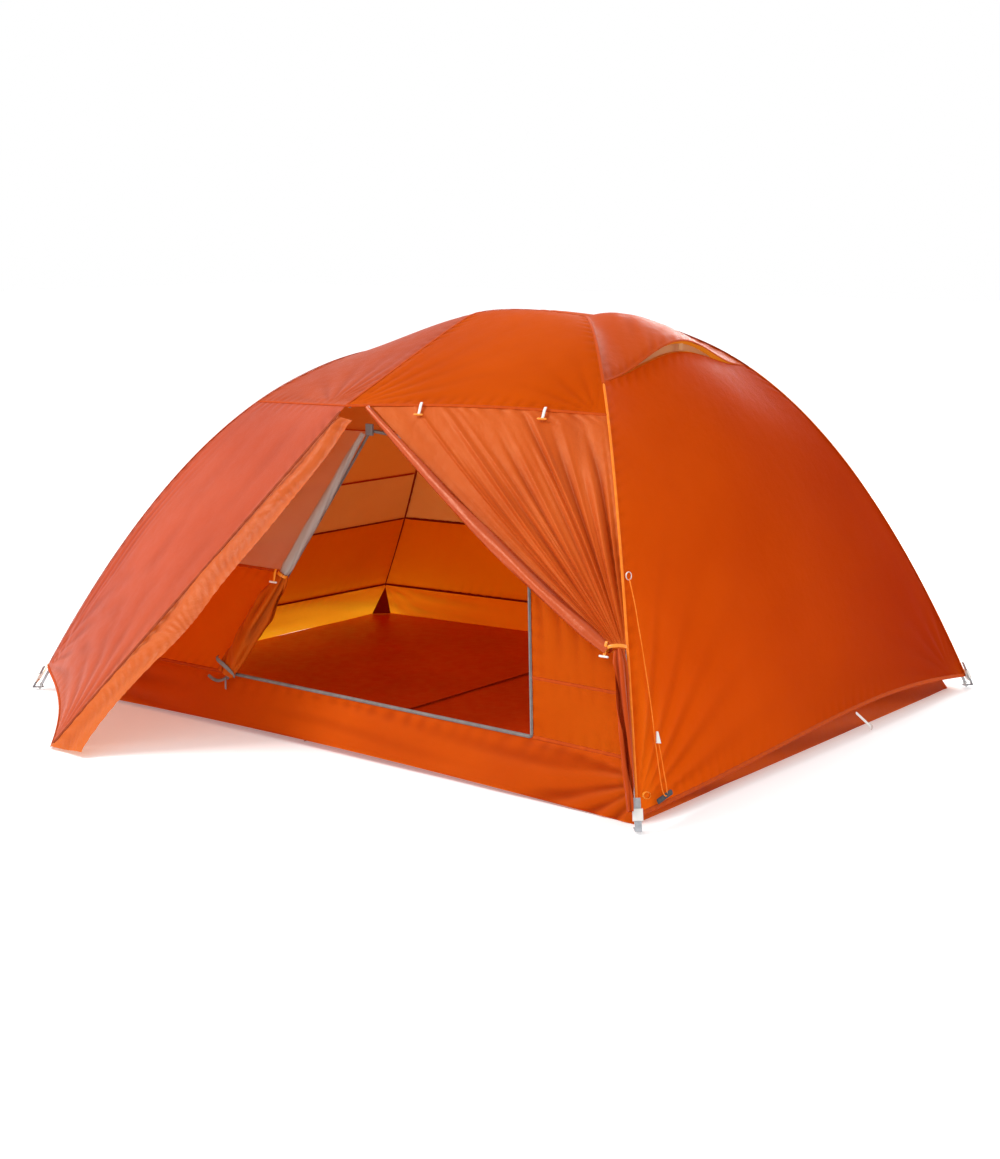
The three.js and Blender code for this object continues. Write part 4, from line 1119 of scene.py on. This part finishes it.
seams += [
    ("ridge_seam", lambda t: ridgeFly(alongRidge(t), seamLift), (0, 0, 1), 0.010, 0.0012, "binding"),
    ("brow_hem_front", lambda t: browHem(front, t) + vec(0, -0.0018, 0), (0, -0.8, 0.5),
     0.009, 0.0012, "binding"),
    ("brow_hem_rear", lambda t: browHem(rear, t) + vec(0, 0.0012, 0), (0, 0.8, 0.5),
     0.009, 0.0012, "binding"),
    ("zip_line_front", lambda t: zipLine(front, 0.01 + 0.97 * np.asarray(t)) + vec(0.010, -0.009, 0.004),
     (0.2, -0.8, 0.4), 0.008, 0.0014, "darkZip"),
    ("zip_line_rear", lambda t: zipLine(rear, t) + vec(0, 0.002, 0), (0.2, 0.8, 0.4), 0.022, 0.0022, "flap"),
    ("rear_door_hem", rearDoorHem, (0.4, 0.8, 0.3), 0.012, 0.0014, "binding"),
    ("head_hem", endHem(head), (1, 0, 0.4), 0.012, 0.0014, "binding"),
    ("foot_hem", endHem(foot), (-1, 0, 0.4), 0.012, 0.0014, "binding"),
    ("hood_hem", hoodHem, (0.8, 0, 0.6), 0.007, 0.0012, "binding"),
]
for name, line, out, width, height, look in seams:
    ribbon(name, line, out, width, height, finish[look], steps=110)

innerSeams = {
    "tub_seam_rear": (between(tubCorner(foot, rear), tubCorner(head, rear)), (0, -1, 0.2), "darkBinding"),
    "tub_seam_foot": (between(tubCorner(foot, front), tubCorner(foot, rear)), (1, 0, 0.2), "darkBinding"),
    "tub_seam_head": (between(tubCorner(head, front), tubCorner(head, rear)), (-1, 0, 0.2), "darkBinding"),
    "tub_seam_front_foot": (between(footLow, doorFoot), (0, -1, 0.3), "binding"),
    "tub_seam_front_head": (between(doorHead, headLow), (0, -1, 0.3), "binding"),
    "band_seam_rear": (lineAtHeight(rearWall, inner["bandLow"]), (0, -1, 0), "darkBinding"),
    "band_seam_front": (lineAtHeight(frontFoot, inner["footBand"]), (0, -1, 0), "binding"),
    "patch_seam_front": (lineAtHeight(frontHead, inner["patchTop"]), (0, -1, 0.2), "binding"),
    "eave_seam_front": (twoPart(footTop, apex, headTop), (0, 0.5, -1), "binding"),
    "eave_seam_rear": (twoPart(footTopR, apexR, headTopR), (0, -0.5, -1), "binding"),
    # the corner seams are real bindings; their dark colour is painted shadow of the leg poles behind the wall
    "corner_seam_foot_front": (footEdge, (1, 1, 0), "darkBinding"),
    "corner_seam_head_front": (headEdge, (-1, 1, 0), "darkBinding"),
    "corner_seam_foot_rear": (footEdgeR, (1, -1, 0), "darkBinding"),
    "corner_seam_head_rear": (headEdgeR, (-1, -1, 0), "darkBinding"),
    "floor_seam": (between(vec(-0.055, -0.83, 0.0045), vec(-0.055, 0.83, 0.0045)), (0, 0, 1), "floorTape"),
}
for name, (line, out, look) in innerSeams.items():
    ribbon(name, line, out, 0.010, 0.0012, finish[look], steps=90)
for end in (foot, head):
    endWall = endWallOf(end)
    for level, tag in ((inner["bandLow"], "low"), (inner["bandHigh"], "high")):
        ribbon(f"band_seam_{endName[end]}_{tag}", lineAtHeight(endWall, level), (-end, 0, 0), 0.009, 0.0012,
               finish["darkBinding" if tag == "low" else "binding"], steps=90)

# the reinforced corners of the floor
gusset = {"inset": 0.010, "reach": 0.050, "lift": 0.004, "tip": vec(0.004, 0, 0)}
for end in (foot, head):
    for side in (front, rear):
        inside = vec(-end * gusset["inset"], -side * gusset["inset"], 0)
        p, top = floorCorner(end, side) + inside, tubCorner(end, side) + inside
        a = p + vec(-end * gusset["reach"], 0, gusset["lift"])
        b = p + vec(0, -side * gusset["reach"], gusset["lift"])
        low, high = top - gusset["tip"], top + gusset["tip"]
        makeCloth(f"corner_gusset_{endName[end]}_{sideName[side]}",
                  patch(between(a, b), between(low, high), between(a, low), between(b, high)),
                  finish["gusset"], [], 12, 14, seed=120, depth=0.0003)

# doorway zip
zipParts = {
    "zip_sill": between(doorFoot, doorHead), "zip_head_side": doorwayEdge,
    "zip_foot_side": between(doorFoot, apex),
}
for name, line in zipParts.items():
    shifted = lambda t, q=line: q(t) + vec(0, -0.002, 0.0)
    ribbon(name + "_tape", shifted, (0, -1, 0.35), 0.010, 0.0012, finish["zipTape"], steps=140)
    ribbon(name + "_teeth", lambda t, q=shifted: q(t) + vec(0, -0.0012, 0.0006), (0, -1, 0.35),
           0.0035, 0.0016, finish["zipTeeth"], steps=160)
print("seams ready")


# rolled inner door, tied back beside the doorway
def rollLine(t):
    return mix(doorFoot, apex, t) + vec(0.004, -0.032, 0.005)


# a finished roll or bunch, joined to the tent in place of its CAD nodes; the size of the cloth wound into it
# is worked out but not kept
def rolledSheet(piece, grid, nodes):
    belongs(piece, nodes)
    width = float(lengthsAlong(grid, 1)[:, -1].max())
    height = float(lengthsAlong(grid, 0)[-1].mean())


# directions out of a line and across it, beside a reference direction
def sidesOf(p, ref):
    along = unit(np.gradient(p, axis=0))
    out = unit(ref - along * (along @ ref)[:, None])
    return out, np.cross(along, out)


def radiusAlong(t, radii):
    return np.interp(t, [r[0] for r in radii], [r[1] for r in radii])[:, None]


# radii: share of the line and the roll's radius there
innerRoll = {
    "turns": 1.7, "twist": 5.0, "flatten": 0.8, "steps": 110, "around": 90,
    "solidRadii": [(0, 0.026), (0.08, 0.035), (0.25, 0.039), (0.36, 0.028), (0.42, 0.014)],
    "netRadii": [(0.4, 0.013), (0.45, 0.021), (0.6, 0.0215), (0.8, 0.016), (0.985, 0.009)],
}


def rolledCloth(name, low, high, radii, material, nodes, seed, folds):
    t = np.linspace(low, high, innerRoll["steps"] + 1)
    p = rollLine(t)
    out, across = sidesOf(p, vec(0, -1, 0.2))
    turn = np.linspace(0, 2 * math.pi * innerRoll["turns"], innerRoll["around"])
    share = turn[None, :] / turn[-1]
    wob = 1 + folds * softNoise(np.cos(turn)[None, :] * 0.25 + t[:, None] * 1.2,
                                np.sin(turn)[None, :] * 0.25 + t[:, None], 0.28, seed)
    spin = turn + innerRoll["twist"] * t[:, None]
    r = radiusAlong(t, radii) * (0.62 + 0.38 * share) * wob
    grid = (p[:, None] + across[:, None] * (r * np.cos(spin))[..., None]
            + out[:, None] * (r * np.sin(spin) * innerRoll["flatten"])[..., None])
    # painted shade where the roll's layers dip inwards
    rolledSheet(gridMesh(name, grid, material, valley=(1 - wob) / folds), grid, nodes)


rolledCloth("door_roll_solid", 0.0, 0.42, innerRoll["solidRadii"], finish["innerRoll"],
            ["inner_door_roll"], 3, 0.26)
rolledCloth("door_roll_net", 0.405, 0.985, innerRoll["netRadii"], finish["netRoll"], [], 5, 0.1)


# the tape that closes the roll's lower end, bent round it
def rollEndTape(t):
    t = np.asarray(t)
    return (rollLine(-0.006 + 0 * t) + vec(1, 0, 0) * col(-0.030 * np.cos(math.pi * t * 1.1))
            + vec(0, -0.6, 0.4) * col(0.030 * np.sin(math.pi * t * 1.1)) + up * col(0.055 * (1 - t)))


# the zip's spare end at the foot of the doorway
def zipTail(t):
    return (doorFoot + vec(-0.004, -0.014, -0.004) + vec(-0.075, -0.012, 0) * col(t)
            + up * col(-0.02 * np.sin(math.pi * np.asarray(t) * 0.9)))


ribbon("door_roll_end_tape", rollEndTape, (0, -1, 0.2), 0.013, 0.0014, finish["zipTape"],
       steps=40)
ribbon("door_zip_tail", zipTail, (0, -1, 0.4), 0.010, 0.0012, finish["zipTape"], steps=40)


gathered = {"gap": 0.12, "steps": 150, "around": 120}


# cloth drawn together lengthwise: an open sheet bent round a line, with folds along it
def bunch(name, line, look, material, nodes, seed):
    t = np.linspace(0, 1, gathered["steps"] + 1)
    p = line(t)
    out, across = sidesOf(p, vec(0.35, -0.9, 0.25))
    low, high = gathered["gap"] * math.pi, (2 - gathered["gap"]) * math.pi
    turn = np.linspace(low, high, gathered["around"])[None, :]
    radius, depth = radiusAlong(t, look["radii"]), look["depth"]
    spin = look["start"] + look["twist"] * t[:, None] + 0.5 * softNoise(t[:, None], 0 * t[:, None], 0.4, seed)
    r = radius * (1 + depth * np.sin(look["lobes"] * turn + 3 * spin)
                  + 0.5 * depth * softNoise(np.cos(turn) * 0.4 + t[:, None], np.sin(turn) * 0.4, 0.35, seed))
    grid = (p[:, None] + across[:, None] * (r * np.cos(turn + spin))[..., None]
            + out[:, None] * (r * np.sin(turn + spin) * look["flatten"])[..., None])
    # painted shade in the hollows of the gathered cloth
    rolledSheet(gridMesh(name, grid, material, valley=(1 - r / radius) / depth), grid, nodes)


leadRoll = {
    "radii": [(0, 0.014), (0.08, 0.021), (0.45, 0.023), (0.8, 0.016), (1, 0.008)],
    "lobes": 2, "depth": 0.16, "twist": 1.4, "start": 4.0, "flatten": 0.8,
}
doorTail = {
    "radii": [(0, 0.007), (0.15, 0.012), (0.5, 0.014), (0.9, 0.016), (1, 0.010)],
    "lobes": 4, "depth": 0.28, "twist": 3.4, "start": 0.0, "flatten": 0.75,
}


# from the leg's hem up to the tie, bowed as the leg is
def tailLine(t):
    hem, tie = legFly(head, front, hemAt[head]), legFly(head, front, onLeg["tie"])
    bow = legSpan(head, front, hemAt[head], onLeg["tie"])(t) - mix(hem, tie, t)
    return mix(hem + vec(-0.008, -0.018, 0.012), tiePoint() + vec(0.022, -0.006, 0), t) + bow


bunch("door_lead_roll", lambda t: doorLead(np.asarray(t, float)) + vec(-0.004, -0.013, -0.006), leadRoll,
      finish["doorRoll"], [], 7)
bunch("door_tail_cloth", tailLine, doorTail, finish["doorTail"],
      ["fly_door_tail_front"], 11)
print("rolled cloth ready")

# vent
ventShare = 1.3 * tent["ventHalfWidth"] / float(np.linalg.norm(ventSill(1.0) - ventSill(0.0)))
ventLow = lambda t: stretch(ventSill, 0.5 - ventShare, 0.5 + ventShare)(t) + vec(-0.010, 0, 0.002)
ventHigh = lambda t: stretch(hoodHem, 0.5 - ventShare, 0.5 + ventShare)(t) + vec(-0.014, 0, -0.010)
makeCloth("vent_net_cloth", patch(ventLow, ventHigh, between(ventLow(0.0), ventHigh(0.0)),
                                  between(ventLow(1.0), ventHigh(1.0))),
          finish["ventNet"], ["vent_mesh"], 60, 20, seed=131, depth=0.0006)

# moving pieces take their places from the record's joints
joints = {j["child"]: j for j in frame["joints"]}


def jointFrame(body):
    origin = np.array(joints[body].get("pos_m", (0, 0, 0)), float)
    out = unit(np.array(joints[body]["axis"], float))
    slope = unit(up - out * out[2])
    return origin, np.cross(out, slope), out, slope


def roundBar(name, a, b, radius, material, body):
    t = np.linspace(-1, 1, 25)
    swell = np.sqrt(np.clip(1 - np.abs(t) ** 9, 0.02, 1)) * (1 - 0.12 * (1 - t ** 2))
    p = mix(a, b, (t + 1) / 2)
    along = unit(b - a)
    side = unit(np.cross(along, vec(0.3, 0.2, 0.9)))
    turn = np.linspace(0, 2 * math.pi, 17)[:-1]
    ringOut = side * col(np.cos(turn)) + np.cross(along, side) * col(np.sin(turn))
    grid = p[:, None] + ringOut[None] * (radius * swell)[:, None, None]
    piece = gridMesh(name, grid, material, closed=True)
    closeEnds(piece)
    return belongs(piece, body=body)


toggle = {"strap": 0.036, "bar": 0.030, "radius": 0.0032, "width": 0.009}
for body, strapLook, barLook in (("brow_toggle_foot", "whiteWebbing", "orangePlastic"),
                                 ("brow_toggle_head", "whiteWebbing", "orangePlastic"),
                                 ("door_tie_toggle", "orangePlastic", "whitePlastic"),
                                 ("roll_toggle", "orangePlastic", "whitePlastic")):
    origin, across, out, slope = jointFrame(body)
    low = origin - slope * toggle["strap"]
    wavy = lambda t: out * col(0.0015 * np.sin(6 * np.asarray(t)))
    line = lambda t: mix(origin + slope * 0.004, low, t) + wavy(t)
    strap = ribbon(body + "_strap", line, out, toggle["width"], 0.0016, finish[strapLook],
                   steps=24, body=body)
    roundBar(body + "_bar", low - across * toggle["bar"] / 2, low + across * toggle["bar"] / 2,
             toggle["radius"], finish[barLook], body)
    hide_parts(body)


# the tie loop that draws the open door together, and the loop round the rolled inner door
def loopRound(name, centre, axis, radii, width, material):
    axis = unit(axis)
    side = unit(np.cross(axis, up + vec(0.1, 0, 0)))
    other = np.cross(axis, side)
    line = lambda t: (centre + side * col(radii[0] * np.cos(2 * math.pi * np.asarray(t) * 0.995))
                      + other * col(radii[1] * np.sin(2 * math.pi * np.asarray(t) * 0.995)))
    out = lambda t: line(t) - centre
    return ribbon(name, line, out, width, 0.0012, material, steps=48)


loopRound("door_tie_loop", tiePoint() + vec(0.010, 0.004, 0.0),
          legFly(head, front, 0.2) - legFly(head, front, 0.14),
          (0.027, 0.021), 0.010, finish["orangePlastic"])
loopRound("roll_tie_loop", rollLine(0.412), apex - doorFoot, (0.0175, 0.0155), 0.010,
          finish["orangePlastic"])

strutOrigin, _, _, _ = jointFrame("vent_strut")
_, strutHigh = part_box("vent_strut")
strutTop = vec(strutHigh.x - 0.001, 0, strutHigh.z - 0.001)
strut = ribbon("vent_strut_sleeve", lambda t: mix(strutOrigin, strutTop, t), (1, 0, -0.35), 0.026, 0.0018,
               finish["ventNet"], steps=30, body="vent_strut")
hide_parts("vent_strut")


def cornerNodes(kind):
    return [f"{kind}_{end}_{side}" for end in ("head", "foot") for side in ("front", "rear")]


# finishes for the CAD pieces whose shape stays
keeps = {
    "alloy": ["ridge_pole_foot", "ridge_pole_head", "brow_pole_front", "brow_pole_rear"]
             + cornerNodes("leg_pole"),
    "tipAlloy": cornerNodes("pole_tip"),
    "greyPlastic": ["brow_swivel", "hub_head", "hub_foot", "apex_clip", "zip_slider", "zip_pull"],
    "whitePlastic": cornerNodes("corner_buckle") + ["guyline_tensioner"],
    "greyWebbing": cornerNodes("corner_strap"),
}
for look, names in keeps.items():
    for name in names:
        node = frame["nodes"][name]
        node.data.materials.clear()
        node.data.materials.append(finish[look])

# corner ties from the hem to the pole tip
for end in (head, foot):
    for side in (front, rear):
        tag = f"{endName[end]}_{sideName[side]}"
        tip = poleTip(end, side)
        hem = legFly(end, side, hemAt[end])
        away = outwards(end, side)
        across = vec(-away[1], away[0], 0)
        if end == foot:
            ties = [(shift * 0.030, shift * 0.004, 0.012, "orangePlastic") for shift in (-1, 1)]
        else:
            ties = [(0.0, 0.0, 0.018 if side == front else 0.030, "whiteWebbing")]
        for k, (spread, meet, width, colour) in enumerate(ties):
            start = hem + across * spread + up * 0.001
            stop = tip + away * 0.010 + across * meet + up * 0.016
            sagging = lambda t: mix(start, stop, t) - up * col(0.003 * np.sin(math.pi * np.asarray(t)))
            ribbon(f"corner_tie_{tag}_{k}", sagging, away + up, width, 0.0014, finish[colour],
                   steps=26)
print("hardware ready")

# small things at the near corner and along the head end
loopRound("pull_tab", legFly(head, front, 0.035) + vec(0.034, -0.004, -0.010), vec(0.7, -0.6, 0.2),
          (0.009, 0.008), 0.016, finish["orangePlastic"])
loopRound("guyline_ring", guyPath[0] + vec(-0.006, 0.006, 0.006), vec(0.9, -0.3, 0.1),
          (0.0085, 0.010), 0.0045, finish["whitePlastic"])
ribbon("head_hem_strap", between(vec(1.184, 0.199, 0.070), vec(1.199, 0.266, 0.018)), (1, 0, 0.2),
       0.009, 0.0014, finish["whiteWebbing"], steps=24)
loopRound("head_hem_hook", vec(1.200, 0.270, 0.014), vec(1, 0, 0.1), (0.008, 0.008), 0.004,
          finish["whitePlastic"])
labelFoot = legFly(head, front, 0.02)
ribbon("corner_label_tape",
       between(labelFoot + vec(0.012, 0.075, -0.006), labelFoot + vec(0.012, 0.145, 0.006)),
       (1, 0, 0.4), 0.014, 0.0012, finish["blackWebbing"], steps=24)

# studio
studio = {
    "groundHalf": 30, "groundDrop": 0.0006, "groundGlow": 0.2, "sky": 1.0,
    "aim": (0, -0.2, 0.4), "backAim": (0, 0.2, 0.4),
}
half, drop = studio["groundHalf"], studio["groundDrop"]
ground = bpy.data.meshes.new("ground")
ground.from_pydata([(-half, -half, -drop), (half, -half, -drop), (half, half, -drop), (-half, half, -drop)],
                   [], [(0, 1, 2, 3)])
groundPiece = bpy.data.objects.new("ground", ground)
scene.collection.objects.link(groundPiece)
pale, paleTree, paleShader, _ = nodeTree("palePaper")
paleCoords = paleTree.nodes.new("ShaderNodeTexCoord")
cloudy = noiseAt(paleTree, paleCoords.outputs["Object"], 3)
paleTree.links.new(blendColour(paleTree, cloudy, (0.90, 0.90, 0.90), (0.92, 0.92, 0.92)),
                   paleShader.inputs["Base Color"])
paleShader.inputs["Emission Color"].default_value = (1, 1, 1, 1)
paleShader.inputs["Emission Strength"].default_value = studio["groundGlow"]
paleShader.inputs["Roughness"].default_value = 0.9
ground.materials.append(pale)

world = bpy.data.worlds.new("studio")
scene.world = world
world.use_nodes = True
world.node_tree.nodes["Background"].inputs["Color"].default_value = (1, 1, 1, 1)
world.node_tree.nodes["Background"].inputs["Strength"].default_value = studio["sky"]


def softLight(name, place, target, size, power):
    data = bpy.data.lights.new(name, "AREA")
    data.shape = "DISK"
    data.size = size
    data.energy = power
    lamp = bpy.data.objects.new(name, data)
    scene.collection.objects.link(lamp)
    lamp.location = place
    lamp.rotation_euler = (Vector(target) - Vector(place)).to_track_quat("-Z", "Y").to_euler()


softLight("key", (-2.8, -3.4, 4.6), studio["aim"], 2.6, 210)
softLight("back", (-0.6, 4.6, 3.0), studio["backAim"], 3.0, 230)
print("studio ready")
